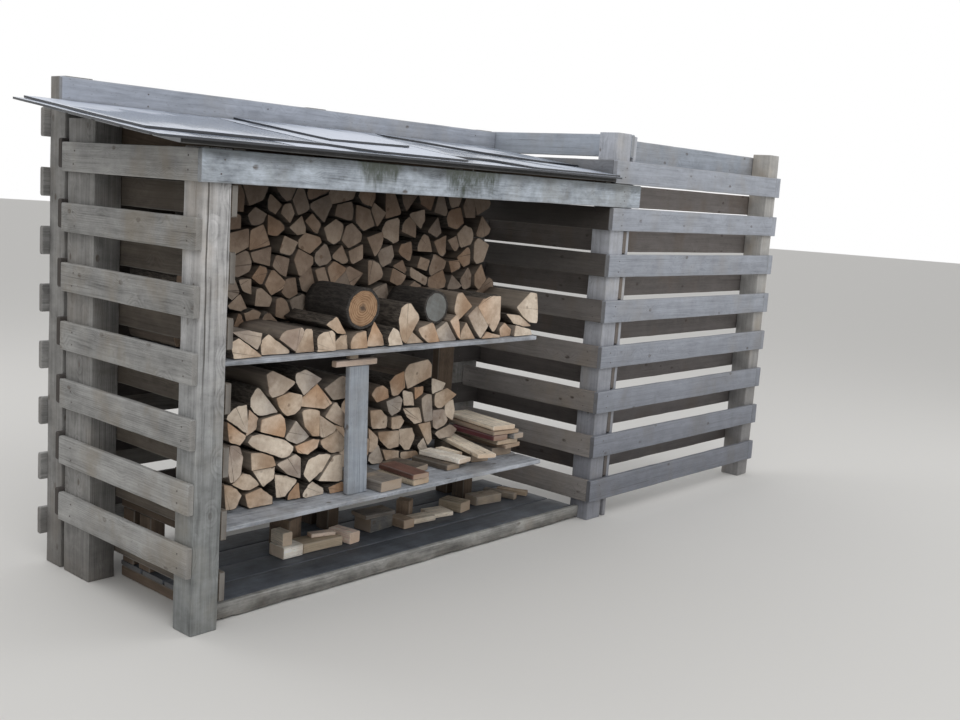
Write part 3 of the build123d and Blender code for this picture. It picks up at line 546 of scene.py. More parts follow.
def figure_group():
    """Wood figure from (along, across, deep) in metres round the pith: growth rings by distance from it,
    which waver along the board and part round knots, fine fibre, and long drying checks."""
    def fill(given):
        grain = given["Grain"]
        _, across, deep = grain.parts()
        knots = make("ShaderNodeTexVoronoi", {"Vector": grain.scaled((8, 13, 13)), "Scale": 1.0})
        near = wires(knots)["Distance"] + grain.cloud(70) * .05
        parted = near.step(.08, .5, .014, 0)
        waver = grain.cloud((1.5, 5, 5), 2) * given["Waver"]
        radius = maths("SQRT", across * across + deep * deep) + waver + parted
        ring = maths("FRACT", maths("DIVIDE", radius, given["Spacing"]))
        ring = ring.step(.25, .9) * ring.step(1.0, .93)
        ring = ring * grain.cloud((3, 30, 30), 2).step(.35, .65, .25, 1)
        return {"Rings": ring, "Fibre": grain.cloud((9, 420, 420), 4, .7),
                "Streak": grain.cloud((2.4, 70, 70), 4, .62), "Knot": near.step(.085, .15, 1, 0),
                "Check": grain.cloud((1.6, 110, 110), 2, .5).step(.70, .745)}
    outputs = dict.fromkeys(("Rings", "Fibre", "Streak", "Check", "Knot"), "Float")
    return group("wood figure", ("Grain",), (), {"Spacing": .005, "Waver": .03}, outputs, fill)


def level(given, name):
    """How far a height lies from one level to another, with a wandering line, times an amount."""
    where = given["Place"]
    height = where.parts()[2] + where.cloud((9, 9, 3)).swing(given[name + " reach"])
    return height.step(given[name + " from"], given[name + " to"]) * given[name]


def weather_group():
    """Weathered sawn wood: a mean colour lightened and darkened by the figure and by patches, brown stains,
    a long drying split, dark ends, damp that rises from low down, darkening towards the top that is painted
    shade (with damp as well on the fascia), painted shade below a height under the roof, and green growth in
    runs."""
    def fill(given):
        where, grain, fibre = given["Place"], given["Grain"], given["Fibre"]
        x, _, z = where.parts()
        tone = fibre.swing(1.1) + given["Streak"].swing(1.3) - given["Rings"] * given["Ring strength"]
        tone = tone + given["Tint"].parts()[0].swing(given["Variation"])
        tone = tone + where.cloud((9, 9, 16), 5, .68).swing(given["Mottle"])
        share = tone * given["Contrast"] + 1.0
        mean = make("ShaderNodeVectorMath", {0: given["Mean"], 3: share}, operation="SCALE")
        colour = blend(1.0, Wire(mean.outputs[0]), given["Dye"], "MULTIPLY")
        colour = blend(where.cloud((5, 5, 3), 4, .6).step(.48, .72, 0, .5), colour, given["Stain"])
        colour = blend(grain.cloud((60, 200, 200), 3, .6).step(.64, .74, 0, .5), colour, FLECK)
        colour = blend(given["Check"] * given["Checked"], colour, CHECK)
        off = maths("ABSOLUTE", x + where.cloud((0, 0, 3)).swing(.02) - given["Split at"])
        opened = off.step(.0014, .0038, 1, 0) * z.step(.62, .9) * given["Split"]
        colour = blend(opened, colour, SPLIT)
        colour = blend(given["Knot"] * grain.cloud((40, 140, 140), 2).step(.3, .7, .3, .85), colour, KNOT)
        sawn_end = blend(.45, given["End colour"], given["Dye"], "MULTIPLY")
        sawn_end = blend(fibre.swing(1.2), sawn_end, END_GRAIN)
        colour = blend(given["Cut"] * given["End amount"], colour, sawn_end)
        colour = blend(given["Edge"] * given["Worn edge"], colour, RUBBED)
        # the first mask is damp low down, and painted shade where a finish sets it to darken towards the top;
        # the second mask is painted shade below a height
        masks = {name: level(given, name) for name in ("Damp", "Shade")}
        for name, mask in masks.items():
            colour = blend(mask, colour, given[name + " colour"], "MULTIPLY")
        ragged = where.cloud((70, 70, 30), 4, .7).step(.3, .55, .45, 1)
        here = 0.0
        for middle, reach in DRIPS:
            run = maths("ABSOLUTE", x - middle).step(reach * .5, reach, 1, 0)
            here = maths("MAXIMUM", here, run)
        fallen = here * .55 + where.cloud((20, 20, 4), 4, .62) - (given["Damp to"] - z) * 4.6
        colour = blend(fallen.step(.6, .96) * ragged * given["Drips"], colour, ALGAE)
        moss = where.cloud((11, 11, 3), 4, .62).step(.56, .74)
        colour = blend(moss * ragged * given["Green"], colour, MOSS)
        high = fibre * .6 - given["Rings"] * .2 - given["Check"] * 1.6
        rough = (fibre - masks["Damp"]).step(-.6, .8, .5, .92)
        return {"Color": colour, "Height": high, "Roughness": rough}
    numbers = {"Rings": 0, "Fibre": .5, "Streak": .5, "Check": 0, "Knot": 0, "Cut": 0, "Edge": 0,
               "Ring strength": .3, "Contrast": .75, "Variation": .35, "End amount": .5, "Mottle": 1.6,
               "Checked": .7, "Worn edge": .16, "Green": 0, "Split": 0, "Split at": 0, "Drips": 0,
               "Damp": 0, "Damp from": .3, "Damp to": 0, "Damp reach": .2,
               "Shade": 0, "Shade from": 1.5, "Shade to": 1.4, "Shade reach": .05}
    colours = ("Mean", "Dye", "Stain", "End colour", "Damp colour", "Shade colour")
    outputs = {"Color": "Color", "Height": "Float", "Roughness": "Float"}
    return group("weathered wood", ("Place", "Grain", "Tint"), colours, numbers, outputs, fill)


def log_group():
    """A split log: sapwood and heartwood by distance from the pith, fine rings, radial drying cracks and saw
    marks on the sawn end, split sides darkened by greyed fibre and by painted shade, furrowed bark on the
    rim, and painted shade towards the top under the roof."""
    def fill(given):
        grain = given["Grain"]
        _, across, up = grain.parts()
        age, ripe, grey = given["Tint"].parts()
        colour = blend(age.step(.1, .9), given["Pale"], given["Tan"])
        colour = blend(ripe.step(.5, 1, 0, .8), colour, given["Ripe"])
        colour = blend(grey.step(.6, .95, 0, given["Greyed"]), colour, given["Grey"])
        reach = make("ShaderNodeVectorMath", {0: grain.scaled((0, 1, 1))}, operation="LENGTH")
        reach = Wire(reach.outputs["Value"])
        own = make("ShaderNodeVectorMath", {0: grain, 1: given["Tint"]}, operation="ADD")
        cloud = Wire(own.outputs[0]).cloud(13, 4, .6)
        outer = (reach + cloud.swing(.09)).step(.03, .12, 0, given["Sapwood"])
        colour = blend(outer, colour, given["Pale"])
        colour = blend(given["Rings"] * given["Ring strength"], colour, LATE_RING, "MULTIPLY")
        core = (reach + grain.cloud(90).swing(.02)).step(.004, .02, given["Pith"], 0)
        colour = blend(core, colour, PITH)
        colour = blend(given["Streak"].step(.35, .75, 0, .35), colour, LOG_STREAK, "MULTIPLY")
        colour = blend(cloud.step(.36, .66, .6, 0), colour, LOG_PATCH, "MULTIPLY")
        spoke = make("ShaderNodeCombineXYZ", {0: maths("ARCTAN2", across, up) * 7, 1: ripe, 2: age * 9})
        crack = Wire(spoke.outputs[0]).cloud(1.6, 1, .4).step(.71, .745) * given["Cut"] * .6
        colour = blend(crack, colour, CRACK)
        colour = blend(given["Knot"] * .6, colour, LOG_KNOT)
        # split sides: greyed fibre and painted shade
        side = blend(given["Streak"].step(.3, .7), given["Side dark"], given["Side pale"])
        colour = blend((1.0 - given["Cut"]) * .8, colour, side)
        furrow = grain.cloud((26, 110, 110), 4, .7, .6)
        rind = blend(furrow.step(.35, .7), given["Bark dark"], given["Bark pale"])
        barked = (given["Bark"] + furrow.swing(.6)).step(.35, .55)
        colour = blend(barked, colour, rind)
        colour = blend(1.0, colour, given["Dye"], "MULTIPLY")
        colour = blend(level(given, "Shade"), colour, given["Shade colour"], "MULTIPLY")
        return {"Color": colour, "Height": given["Fibre"] * .5 - crack * 2 + barked * furrow * 4}
    numbers = {"Rings": 0, "Fibre": .5, "Streak": .5, "Knot": 0, "Cut": 0, "Bark": 0, "Greyed": .5,
               "Ring strength": .3, "Pith": 0, "Sapwood": .55,
               "Shade": 0, "Shade from": 1.1, "Shade to": 1.45, "Shade reach": .1}
    colours = ("Pale", "Tan", "Ripe", "Grey", "Side dark", "Side pale", "Bark dark", "Bark pale", "Dye",
               "Shade colour")
    outputs = {"Color": "Color", "Height": "Float"}
    return group("split log", ("Place", "Grain", "Tint"), colours, numbers, outputs, fill)


def new_tree(name):
    material = bpy.data.materials.new(name)
    material.use_nodes = True
    material.node_tree.nodes.clear()
    return material, material.node_tree


def place_in(tree):
    """The wire of the place in the object."""
    return wires(make("ShaderNodeTexCoord", {}, tree))["Object"]


def sources(tree):
    """The wires that a finish reads: the grain, tint and dye, the masks, and the place in the object."""
    read = {key: wires(make("ShaderNodeAttribute", {}, tree, attribute_name=key))
            for key in ("grain", "tint", "dye", "edge", "bark", "cut")}
    given = {key.title(): read[key]["Fac"] for key in ("edge", "bark", "cut")}
    return given | {"Grain": read["grain"]["Vector"], "Tint": read["tint"]["Vector"],
                    "Dye": read["dye"]["Color"], "Place": place_in(tree)}


def covered(name, kind, spacing, waver, own):
    """A new material and the wires out of one of the groups, fed with its sources, its figure and its own
    values."""
    material, tree = new_tree(name)
    given = sources(tree)
    figure = make("ShaderNodeGroup", {}, tree, node_tree=GROUPS["figure"])
    feed(figure, {"Grain": given["Grain"], "Spacing": spacing, "Waver": waver})
    skin = make("ShaderNodeGroup", {}, tree, node_tree=GROUPS[kind])
    feed(skin, {key: wire for key, wire in (given | wires(figure)).items() if key in skin.inputs} | own)
    return material, wires(skin)


def shaded(colour, height, rough, strength, distance, **constants):
    """The Principled shader with a bump; constants are set on its own sockets."""
    bump = make("ShaderNodeBump", {"Strength": strength, "Distance": distance, "Height": height})
    shader = make("ShaderNodeBsdfPrincipled", {"Base Color": colour, "Roughness": rough,
                                               "Normal": Wire(bump.outputs[0])} | constants)
    make("ShaderNodeOutputMaterial", {0: Wire(shader.outputs[0])})


def timber_finish(name, mean, stain, contrast, more):
    """Sawn timber left outside, in its own mean colour and with its own damp, shelter and growth."""
    own = {"Mean": mean, "Stain": stain, "Contrast": contrast, "End colour": (.16, .15, .14)} | more
    material, skin = covered(name, "weather", spacing=.006, waver=.03, own=own)
    shaded(skin["Color"], skin["Height"], skin["Roughness"], strength=.5, distance=.0014)
    return material


def log_finish(name, colours, bark, more, spacing=.0028, waver=.006):
    """Split firewood, in its own range of colours: sapwood, heartwood, ripe wood and greyed wood."""
    own = dict(zip(("Pale", "Tan", "Ripe", "Grey"), colours))
    own |= dict(zip(("Side dark", "Side pale", "Bark dark", "Bark pale"), SPLIT_SIDES + bark)) | more
    material, skin = covered(name, "log", spacing, waver, own)
    shaded(skin["Color"], skin["Height"], rough=.85, strength=.6, distance=.0015)
    return material


def roofing_finish(name, pale, dark):
    """Worn bitumen sheet: a pale bluish top that is a dusty film and a painted sky reflection, with darker
    streaks down the slope, near-black raw edges, and a wet gloss that comes and goes."""
    material, tree = new_tree(name)
    given = sources(tree)
    cloud = given["Grain"].cloud((2.2, 1.6, 2), 4)
    fine = given["Grain"].cloud(240, 3, .7)
    wet = cloud.step(.38, .62)
    # the pale colour is a dusty film and a painted sky reflection
    colour = blend(wet, pale, dark)
    colour = blend(fine.step(.3, .8, 0, .12), colour, DUST)
    colour = blend(maths("MAXIMUM", given["Cut"], given["Edge"] * .05), colour, RAW_EDGE)
    shaded(colour, fine + cloud * 2, wet.step(0, 1, .5, .12), strength=.15, distance=.0008, IOR=1.6)
    return material


def steel_finish(name):
    """Nail steel, rusted in patches."""
    material, tree = new_tree(name)
    rust = place_in(tree).cloud(900).step(.4, .65)
    colour = blend(rust, NAIL_STEEL, NAIL_RUST)
    shaded(colour, rust, rough=.6, strength=.2, distance=.0004, Metallic=.6)
    return material


# Sizes and colours that a user would change

class TimberSettings(bpy.types.PropertyGroup):
    arris: FloatProperty(name="Arris", description="Radius of a board's worn corners", default=.0024, min=0,
                         unit="LENGTH")
    worn: FloatProperty(name="Wear", description="How far a board's faces wander inward", default=.0014,
                        min=0, unit="LENGTH")
    joint: FloatProperty(name="Joint", description="Gap between the boards of a deck or shelf", default=.003,
                         min=0, unit="LENGTH")
    silver: FloatVectorProperty(name="Silvered wood", description="Mean colour of weathered wood",
                                default=(.30, .31, .325), subtype="COLOR", min=0, max=1)
    contrast: FloatProperty(name="Contrast", description="How far the figure lightens and darkens the wood",
                            default=.75, min=0)


class LogSettings(bpy.types.PropertyGroup):
    shrink: FloatProperty(name="Shrink", description="How far a log draws in from its neighbours",
                          default=.0016, min=0, unit="LENGTH")
    seed: IntProperty(name="Seed", description="Start of the random fields", default=11, min=0)
    pale: FloatVectorProperty(name="Sapwood", description="Freshly split pale wood", default=(.82, .72, .60),
                              subtype="COLOR", min=0, max=1)
    tan: FloatVectorProperty(name="Heartwood", description="Tan wood", default=(.52, .38, .265),
                             subtype="COLOR", min=0, max=1)


class RoofSettings(bpy.types.PropertyGroup):
    curl: FloatProperty(name="Curl", description="How far a sheet's front edge lifts", default=.0006, min=0,
                        unit="LENGTH")
    # the dry sheet's pale bluish colour is dust and a painted sky reflection
    pale: FloatVectorProperty(name="Pale sheet: dust and painted sky reflection", description="Dusty dry sheet, lightened by a painted sky reflection", default=(.60, .65, .76),
                              subtype="COLOR", min=0, max=1)
    dark: FloatVectorProperty(name="Wet sheet", description="Sheet under water", default=(.33, .38, .47),
                              subtype="COLOR", min=0, max=1)


class StageSettings(bpy.types.PropertyGroup):
    sky: FloatProperty(name="Sky", description="Strength of the even light all round", default=.62, min=0)
    key: FloatProperty(name="Key lamp", description="Power of the large lamp", default=95, min=0,
                       unit="POWER")
    floor: FloatVectorProperty(name="Floor", description="Colour of the floor", default=(.72, .71, .69),
                               subtype="COLOR", min=0, max=1)


def settings():
    return bpy.context.scene.log_store


def place(name, heap, material, slot, *nodes):
    """A finished piece: rides on the store, takes the finish named by material and stands for its nodes; its
    slot is not used.
    """
    piece = bpy.data.objects.new(name, heap.mesh(name))
    bpy.context.scene.collection.objects.link(piece)
    piece.data.materials.append(MATERIALS[material])
    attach(piece, "root")
    if nodes:
        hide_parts(*nodes)
    return piece


def sawn(node, material, slot, count=1, dyes=(), **how):
    """One node's boxes as sawn boards, each slab shared between count boards, dyed in their order."""
    timber = settings().timber
    heap = Heap()
    rng = np.random.default_rng([len(node)] + [ord(c) for c in node])
    boxes = [edges_of(points) for points in solids(node)]
    if count > 1:
        boxes = [each for box in boxes for each in shared(box, count, timber.joint)]
    for box, dye in zip(boxes, itertools.chain(dyes, itertools.repeat(UNDYED))):
        board(heap, box, rng, arris=timber.arris, worn=timber.worn, dye=dye, **how)
    return place(node + "_sawn", heap, material, slot, node)


def split(node, material, slot, **how):
    """One node's prisms as split logs."""
    logs = settings().logs
    heap = Heap()
    rng = np.random.default_rng([logs.seed] + [ord(c) for c in node])
    for points in solids(node):
        split_log(heap, points, rng, shrink=logs.shrink, **how)
    return place(node + "_split", heap, material, slot, node)


def band(name, amount, start, end, reach, colour):
    """The inputs of a level: how much, the heights of none and all of it, how far its line wanders, and its
    colour."""
    return {name: amount, name + " from": start, name + " to": end, name + " reach": reach,
            name + " colour": colour}


class LOGSTORE_OT_finishes(bpy.types.Operator):
    """Make the node groups and the finishes"""
    bl_idname = "logstore.finishes"
    bl_label = "Finishes"

    def execute(self, context):
        GROUPS.update(figure=figure_group(), weather=weather_group(), log=log_group())
        timber, logs, roof = settings().timber, settings().logs, settings().roof
        silver = np.array(timber.silver)
        wet_foot = band("Damp", 1.0, 1.3, .1, .25, (.48, .48, .50))
        wet_low = band("Damp", .8, .30, 0.0, .25, (.45, .43, .41))
        smooth = {"Contrast": timber.contrast * .6, "Checked": .3}
        # each mean colour as a share of silvered wood, the stain, and what else differs
        timbers = {
            "left post": ((1.6, 1.53, 1.46), (.44, .38, .31), {"Split": .85, "Split at": -1.641}
                          | band("Damp", 1.0, 1.25, .2, .25, (.48, .51, .51))),
            "corner post": ((1.6, 1.6, 1.66), (.5, .46, .40), smooth | wet_foot),
            "end post": ((1.5, 1.42, 1.3), (.5, .42, .32), smooth | wet_foot),
            "rear post": ((.8, .76, .7), (.2, .17, .14), wet_low),
            "left wall": ((1.0, .96, .89), (.25, .21, .155), {"Checked": .4} | wet_low),
            "slat": ((1.2, 1.24, 1.34), (.32, .31, .30), {"Green": .12} | smooth | wet_foot),
            "rear slat": ((1.3, 1.38, 1.5), (.36, .33, .3), smooth | wet_foot
                          | band("Shade", 1.0, 1.57, 1.52, .02, (.62, .51, .42))),
            # painted shade inside the store: its Shade band darkens the slats below the roof, and its band
            # from .5 to 1.42 makes them darker towards the top; the pale mean is the top board above the roof
            "right wall": ((2.1, 2.2, 2.4), (.6, .58, .55), smooth
                           | band("Shade", 1.0, 1.50, 1.42, .02, (.42, .36, .30))
                           | band("Damp", 1.0, .5, 1.42, .1, (.25, .24, .23))),
            "back wall": ((1.25, 1.3, 1.42), (.38, .37, .36), smooth
                          | band("Shade", 1.0, 1.57, 1.52, .02, (.18, .15, .125))),
            "back wall outer": ((.9, .86, .8), (.24, .21, .17), {"Checked": .5} | wet_low),
            "left inner": ((.44, .36, .28), (.10, .08, .06), {}),
            # the fascia's darker top band is damp and the painted shadow of the roof's overhang
            "fascia": ((1.38, 1.48, 1.58), (.30, .30, .28), {"Drips": .85, "Mottle": 3.4, "Checked": .4,
                       "Contrast": .6} | band("Damp", .95, 1.434, 1.470, .04, (.30, .31, .30))),
            "sheltered": ((.40, .28, .19), (.08, .055, .035), {}),
            "shelf": ((1.12, 1.15, 1.21), (.24, .23, .22), {"Mottle": 3.0, "Checked": .5}),
            "middle post": ((1.12, 1.2, 1.3), (.28, .28, .28), smooth),
            "base": ((.26, .28, .31), (.06, .063, .07), {"Mottle": 3.2, "Worn edge": 0.0}
                     | band("Damp", .8, .5, .05, .1, (.85, .87, .9))),
            "base front": ((.92, .88, .8), (.22, .19, .15), {"Mottle": 3.2}
                           | band("Damp", .8, .06, 0.0, .06, (.45, .43, .4))),
            # the deck boards' dark colour is painted shadow under the sheets' overhang; their pale ends are
            # their own
            "roof deck": ((.17, .16, .15), (.03, .027, .024),
                          {"End colour": (.42, .43, .44), "End amount": .9}),
            "offcut": ((2.4, 2.05, 1.6), (.6, .47, .33),
                       {"End colour": (.62, .46, .32), "End amount": .75, "Checked": .5}),
        }
        for name, (share, stain, more) in timbers.items():
            mean = tuple(silver * share)
            MATERIALS[name] = timber_finish(name + " wood", mean, stain, timber.contrast, more)
        MATERIALS.update({
            "fresh": log_finish("fresh firewood", (tuple(logs.pale), tuple(logs.tan), (.60, .365, .215),
                                                   (.37, .355, .345)), BROWN_BARK, {"Greyed": .75}),
            # old firewood: its darker colours are greyed old wood and painted shade, and its Shade band
            # paints more shade towards the top under the roof
            "old": log_finish("old firewood with painted shade", ((.45, .365, .29), (.29, .215, .16), (.34, .22, .14),
                                               (.2, .18, .165)), BROWN_BARK, {"Greyed": .5, "Sapwood": .35}
                              | band("Shade", .92, 1.14, 1.45, .1, (.21, .2, .2))),
            "round": log_finish("round log wood", ((.42, .27, .16), (.40, .25, .145), (.38, .22, .12),
                                                   (.2, .16, .12)), BLACK_BARK,
                                {"Greyed": 0.0, "Pith": .9, "Sapwood": 0.0, "Ring strength": .85},
                                spacing=.009, waver=.022),
            "dark": log_finish("dark log wood", ((.28, .30, .305), (.21, .225, .225), (.2, .195, .175),
                                                 (.25, .27, .27)), CHARRED_BARK,
                               {"Greyed": .6, "Sapwood": .3, "Ring strength": .35}),
            "roof": roofing_finish("roofing sheet", tuple(roof.pale), tuple(roof.dark)),
            "steel": steel_finish("nail steel"),
        })
        return {"FINISHED"}


class LOGSTORE_OT_posts(bpy.types.Operator):
    """Saw the posts and the corner batten"""
    bl_idname = "logstore.posts"
    bl_label = "Posts"

    def execute(self, context):
        sawn("post_front_left", "left post", "post_timber")
        sawn("corner_post", "corner post", "post_timber")
        sawn("wing_end_post", "end post", "post_timber")
        sawn("rear_fence_posts", "rear post", "post_timber")
        sawn("corner_batten", "corner post", "slat_timber")
        sawn("post_rear_left", "rear post", "brown_timber")
        return {"FINISHED"}


class LOGSTORE_OT_walls(bpy.types.Operator):
    """Saw the slats of the four walls"""
    bl_idname = "logstore.walls"
    bl_label = "Slatted walls"

    def execute(self, context):
        rows = {"left_wall_outer_slats": "left wall", "left_wall_inner_slats": "left inner",
                "right_wall_outer_slats": "rear slat", "right_wall_inner_slats": "right wall",
                "back_wall_outer_slats": "back wall outer", "back_wall_inner_slats": "back wall",
                "wing_front_slats": "slat", "wing_rear_slats": "rear slat"}
        for node, finish in rows.items():
            sawn(node, finish, "slat_timber")
        return {"FINISHED"}


class LOGSTORE_OT_roof_frame(bpy.types.Operator):
    """Saw the fascia, the rafters, the rear plate and the roof deck"""
    bl_idname = "logstore.roof_frame"
    bl_label = "Roof frame"

    def execute(self, context):
        sawn("front_fascia", "fascia", "fascia_timber")
        sawn("roof_rafters", "sheltered", "brown_timber")
        sawn("rear_plate", "sheltered", "brown_timber")
        sawn("roof_deck", "roof deck", "brown_timber", count=5)
        return {"FINISHED"}


class LOGSTORE_OT_roofing(bpy.types.Operator):
    """Lay the roofing sheets"""
    bl_idname = "logstore.roofing"
    bl_label = "Roofing sheets"

    def execute(self, context):
        rng = np.random.default_rng(5)
        for node in ("roof_sheet_left", "roof_sheet_middle", "roof_sheet_right", "roof_lap_sheets",
                     "roof_top_sheets"):
            heap = Heap()
            for points in solids(node):
                roofing(heap, points, rng, settings().roof.curl)
            place(node + "_laid", heap, "roof", "roof_sheet", node)
        return {"FINISHED"}


class LOGSTORE_OT_shelves(bpy.types.Operator):
    """Saw the shelves, what carries them and the middle post"""
    bl_idname = "logstore.shelves"
    bl_label = "Shelves and middle post"

    def execute(self, context):
        sawn("upper_shelf", "shelf", "shelf_timber", count=4)
        sawn("lower_shelf", "shelf", "shelf_timber", count=4)
        sawn("mid_post_front", "middle post", "shelf_timber")
        sawn("mid_post_cleat", "offcut", "shelf_timber", dyes=((.3, .28, .27), (.8, .72, .75)))
        for node in ("mid_post_rear", "shelf_bearers", "lower_shelf_blocks"):
            sawn(node, "sheltered", "brown_timber")
        return {"FINISHED"}


class LOGSTORE_OT_base(bpy.types.Operator):
    """Saw the base boards, the joists and the ragged front board"""
    bl_idname = "logstore.base"
    bl_label = "Base"

    def execute(self, context):
        sawn("base_deck", "base", "base_boards", count=4)
        sawn("base_joists", "sheltered", "brown_timber")
        sawn("base_front_board", "base front", "slat_timber", ragged=(np.array([0, 0, -1.0]), .012), step=.03)
        return {"FINISHED"}


class LOGSTORE_OT_firewood(bpy.types.Operator):
    """Split the firewood of the upper and lower shelves"""
    bl_idname = "logstore.firewood"
    bl_label = "Firewood"

    def execute(self, context):
        split("upper_front_logs", "fresh", "fresh_firewood", sides=34)
        split("upper_rear_logs", "old", "old_firewood", sides=22, rings=(.5, .9), steps=3, shape="wedge")
        split("lower_left_logs", "fresh", "fresh_firewood", sides=34)
        split("lower_right_logs", "fresh", "fresh_firewood", sides=30)
        whole = {"rings": (.15, .35, .6, .8, .9), "steps": 8, "shape": "round"}
        split("round_log", "round", "fresh_firewood", sides=72, **whole)
        split("dark_log", "dark", "old_firewood", sides=60, **whole)
        return {"FINISHED"}


class LOGSTORE_OT_offcuts(bpy.types.Operator):
    """Saw the offcuts that lie on the lower shelf and the base"""
    bl_idname = "logstore.offcuts"
    bl_label = "Offcuts"

    def execute(self, context):
        # a colour for each piece, in the loaded order
        dark, slate, grey, ash = (.16, .15, .15), (.2, .225, .27), (.42, .48, .6), (.3, .3, .32)
        cream, pale, brown, tan = (1.25, 1.25, 1.25), (1.3, 1.4, 1.55), (.4, .33, .29), (.66, .62, .56)
        red, maroon, pink = (.24, .13, .12), (.17, .05, .075), (1.3, 1.2, 1.25)
        sawn("plank_offcuts", "offcut", "sawn_offcuts",
             dyes=(cream, brown, grey, maroon, tan, brown, ash, cream, cream, pale, dark, slate, dark))
        sawn("block_offcuts", "offcut", "sawn_offcuts", dyes=(dark, slate, red, tan, ash))
        sawn("base_offcuts", "offcut", "sawn_offcuts", dyes=(brown, ash, ash, brown, tan, cream, cream, brown,
                                                             ash, slate, brown, pink, pink, tan, cream, pale))
        return {"FINISHED"}


class LOGSTORE_OT_nails(bpy.types.Operator):
    """Drive the nails that hold the slats and the fascia"""
    bl_idname = "logstore.nails"
    bl_label = "Nails"

    def execute(self, context):
        rng = np.random.default_rng(8)
        spots, ways = [], []
        stray_along, stray_up = NAIL_STRAYS
        # the boards, the axis and the way that their nails face, and each pair's place from the left post
        rows = (("left_wall_outer_slats", 0, -1, (.050, .690)), ("wing_front_slats", 1, -1, (2.099, 3.461)),
                ("front_fascia", 1, -1, (.050, 1.05, 2.099)), ("right_wall_inner_slats", 0, -1, (.050, .720)),
                ("back_wall_inner_slats", 1, -1, (.30, .82, 2.00)))
        for node, axis, way, places in rows:
            along = 1 - axis
            for points, spot in itertools.product(solids(node), places):
                low, high = points.min(axis=0), points.max(axis=0)
                middle = spot - LEFT_POST[along]
                if not low[along] + NAIL_MARGIN < middle < high[along] - NAIL_MARGIN:
                    continue
                for share in NAIL_HEIGHTS:
                    at = np.zeros(3)
                    at[axis] = low[axis] if way < 0 else high[axis]
                    at[along] = middle + rng.uniform(-stray_along, stray_along)
                    at[2] = low[2] + (high[2] - low[2]) * share + rng.uniform(-stray_up, stray_up)
                    spots.append(at)
                    ways.append(np.eye(3)[axis] * way)
        heap = Heap()
        domed(heap, spots, ways)
        place("nails", heap, "steel", None)
        return {"FINISHED"}


def lay_floor(colour, sides=48, radii=(.001, 2, 5, 10, 20, 40), sunk=.0005):
    """A flat disc of rings a hair under the store's feet."""
    ring, spoke = np.meshgrid(np.array(radii), np.arange(sides) / sides * TURN, indexing="ij")
    points = np.stack([ring * np.cos(spoke), ring * np.sin(spoke), 0 * ring - sunk], axis=-1).reshape(-1, 3)
    faces = tube(len(radii), sides)[1][..., [0, 3, 2, 1]].reshape(-1, 4)
    mesh = bpy.data.meshes.new("floor")
    mesh.from_pydata(points.tolist(), [], faces.tolist())
    floor = bpy.data.objects.new("floor", mesh)
    bpy.context.scene.collection.objects.link(floor)
    material, tree = new_tree("floor paint")
    shader = make("ShaderNodeBsdfPrincipled", {"Base Color": colour, "Roughness": .9}, tree)
    make("ShaderNodeOutputMaterial", {0: Wire(shader.outputs[0])})
    mesh.materials.append(material)


def light_sky(strength):
    """Even light all round, which the camera and mirror-like faces see as white."""
    world = bpy.data.worlds.new("sky")
    bpy.context.scene.world = world
    world.use_nodes = True
    world.node_tree.nodes.clear()
    path = wires(make("ShaderNodeLightPath", {}, world.node_tree))
    seen = maths("MAXIMUM", path["Is Glossy Ray"], path["Is Transmission Ray"])
    seen = maths("MAXIMUM", path["Is Camera Ray"], seen)
    glow = make("ShaderNodeMapRange", {0: seen, 1: 0.0, 2: 1.0, 3: strength, 4: 1.0})
    light = make("ShaderNodeBackground", {"Color": (1, 1, 1), "Strength": Wire(glow.outputs[0])})
    make("ShaderNodeOutputWorld", {0: Wire(light.outputs[0])})


def light_lamps(power, toward=(0, 0, .7)):
    """The lamps, all turned to the middle of the store."""
    for name, spot, share, size in LAMPS:
        lamp = bpy.data.lights.new(name, "AREA")
        lamp.energy, lamp.size = power * share, size
        holder = bpy.data.objects.new(name, lamp)
        holder.location = spot
        facing = Vector(toward) - Vector(spot)
        holder.rotation_euler = facing.to_track_quat("-Z", "Y").to_euler()
        bpy.context.scene.collection.objects.link(holder)


def aim_camera():
    """The solved camera, its three directions made square to one another."""
    ahead = Vector(CAMERA_AHEAD).normalized()
    right = Vector(CAMERA_RIGHT)
    right = (right - ahead * right.dot(ahead)).normalized()
    up = right.cross(ahead)
    camera = bpy.data.objects.new("camera", bpy.data.cameras.new("camera"))
    camera.data.sensor_fit = "HORIZONTAL"
    camera.data.sensor_width = SENSOR
    camera.data.lens = LENS
    camera.data.clip_end = 200
    turn = Matrix((right, up, -ahead)).transposed().to_4x4()
    camera.matrix_world = Matrix.Translation(CAMERA_AT) @ turn
    bpy.context.scene.collection.objects.link(camera)
    bpy.context.scene.camera = camera


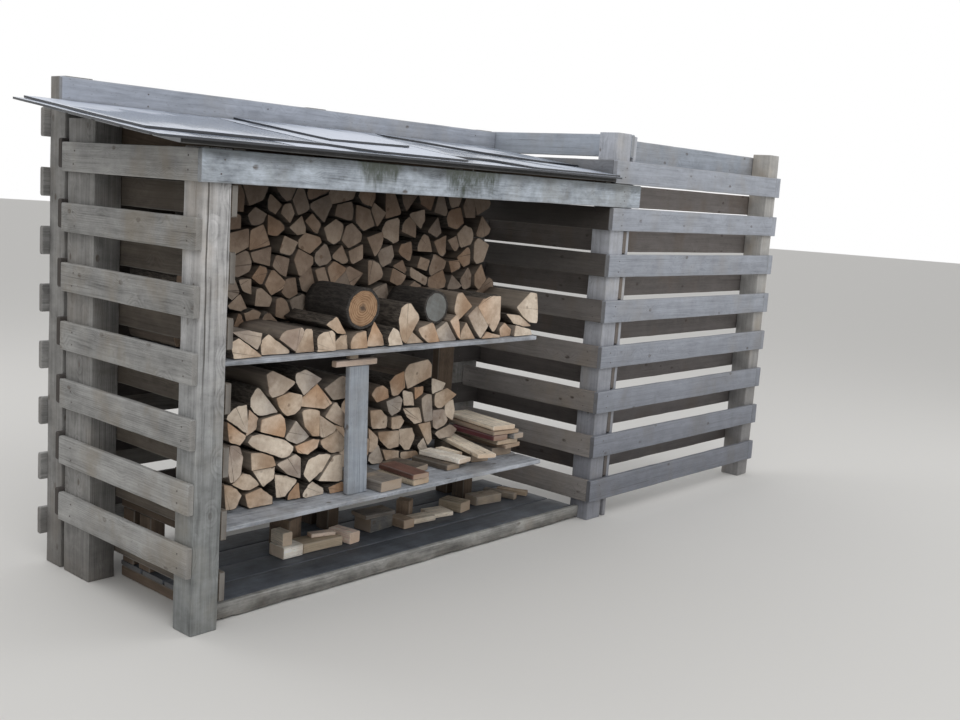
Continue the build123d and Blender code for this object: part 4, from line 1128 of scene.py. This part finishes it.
class LOGSTORE_OT_stage(bpy.types.Operator):
    """Lay the floor and set the lamps, the sky and the camera"""
    bl_idname = "logstore.stage"
    bl_label = "Stage"

    def execute(self, context):
        stage = settings().stage
        lay_floor(tuple(stage.floor))
        light_sky(stage.sky)
        light_lamps(stage.key)
        aim_camera()
        context.scene.view_settings.view_transform = "Standard"
        return {"FINISHED"}


class StoreSettings(bpy.types.PropertyGroup):
    timber: PointerProperty(name="Timber", description="Sawn boards", type=TimberSettings)
    logs: PointerProperty(name="Logs", description="Split logs", type=LogSettings)
    roof: PointerProperty(name="Roof", description="Roofing sheets", type=RoofSettings)
    stage: PointerProperty(name="Stage", description="Floor and light", type=StageSettings)


STEPS = (LOGSTORE_OT_finishes, LOGSTORE_OT_posts, LOGSTORE_OT_walls, LOGSTORE_OT_roof_frame,
         LOGSTORE_OT_roofing, LOGSTORE_OT_shelves, LOGSTORE_OT_base, LOGSTORE_OT_firewood,
         LOGSTORE_OT_offcuts, LOGSTORE_OT_nails, LOGSTORE_OT_stage)


class LOGSTORE_PT_panel(bpy.types.Panel):
    """The store's pieces, in the order that they are made"""
    bl_idname = "LOGSTORE_PT_panel"
    bl_label = "Log Store"
    bl_space_type = "VIEW_3D"
    bl_region_type = "UI"
    bl_category = "Log Store"

    def draw(self, context):
        store = context.scene.log_store
        for part in (store.timber, store.logs, store.roof, store.stage):
            box = self.layout.box()
            for key in part.__annotations__:
                box.prop(part, key)
        for step in STEPS:
            self.layout.operator(step.bl_idname)


CLASSES = (TimberSettings, LogSettings, RoofSettings, StageSettings, StoreSettings, *STEPS, LOGSTORE_PT_panel)


def register():
    for item in CLASSES:
        bpy.utils.register_class(item)
    bpy.types.Scene.log_store = PointerProperty(type=StoreSettings)


def unregister():
    del bpy.types.Scene.log_store
    for item in reversed(CLASSES):
        bpy.utils.unregister_class(item)


def main():
    register()
    for step in STEPS:
        area, name = step.bl_idname.split(".")
        getattr(getattr(bpy.ops, area), name)()


if __name__ == "__main__":
    main()
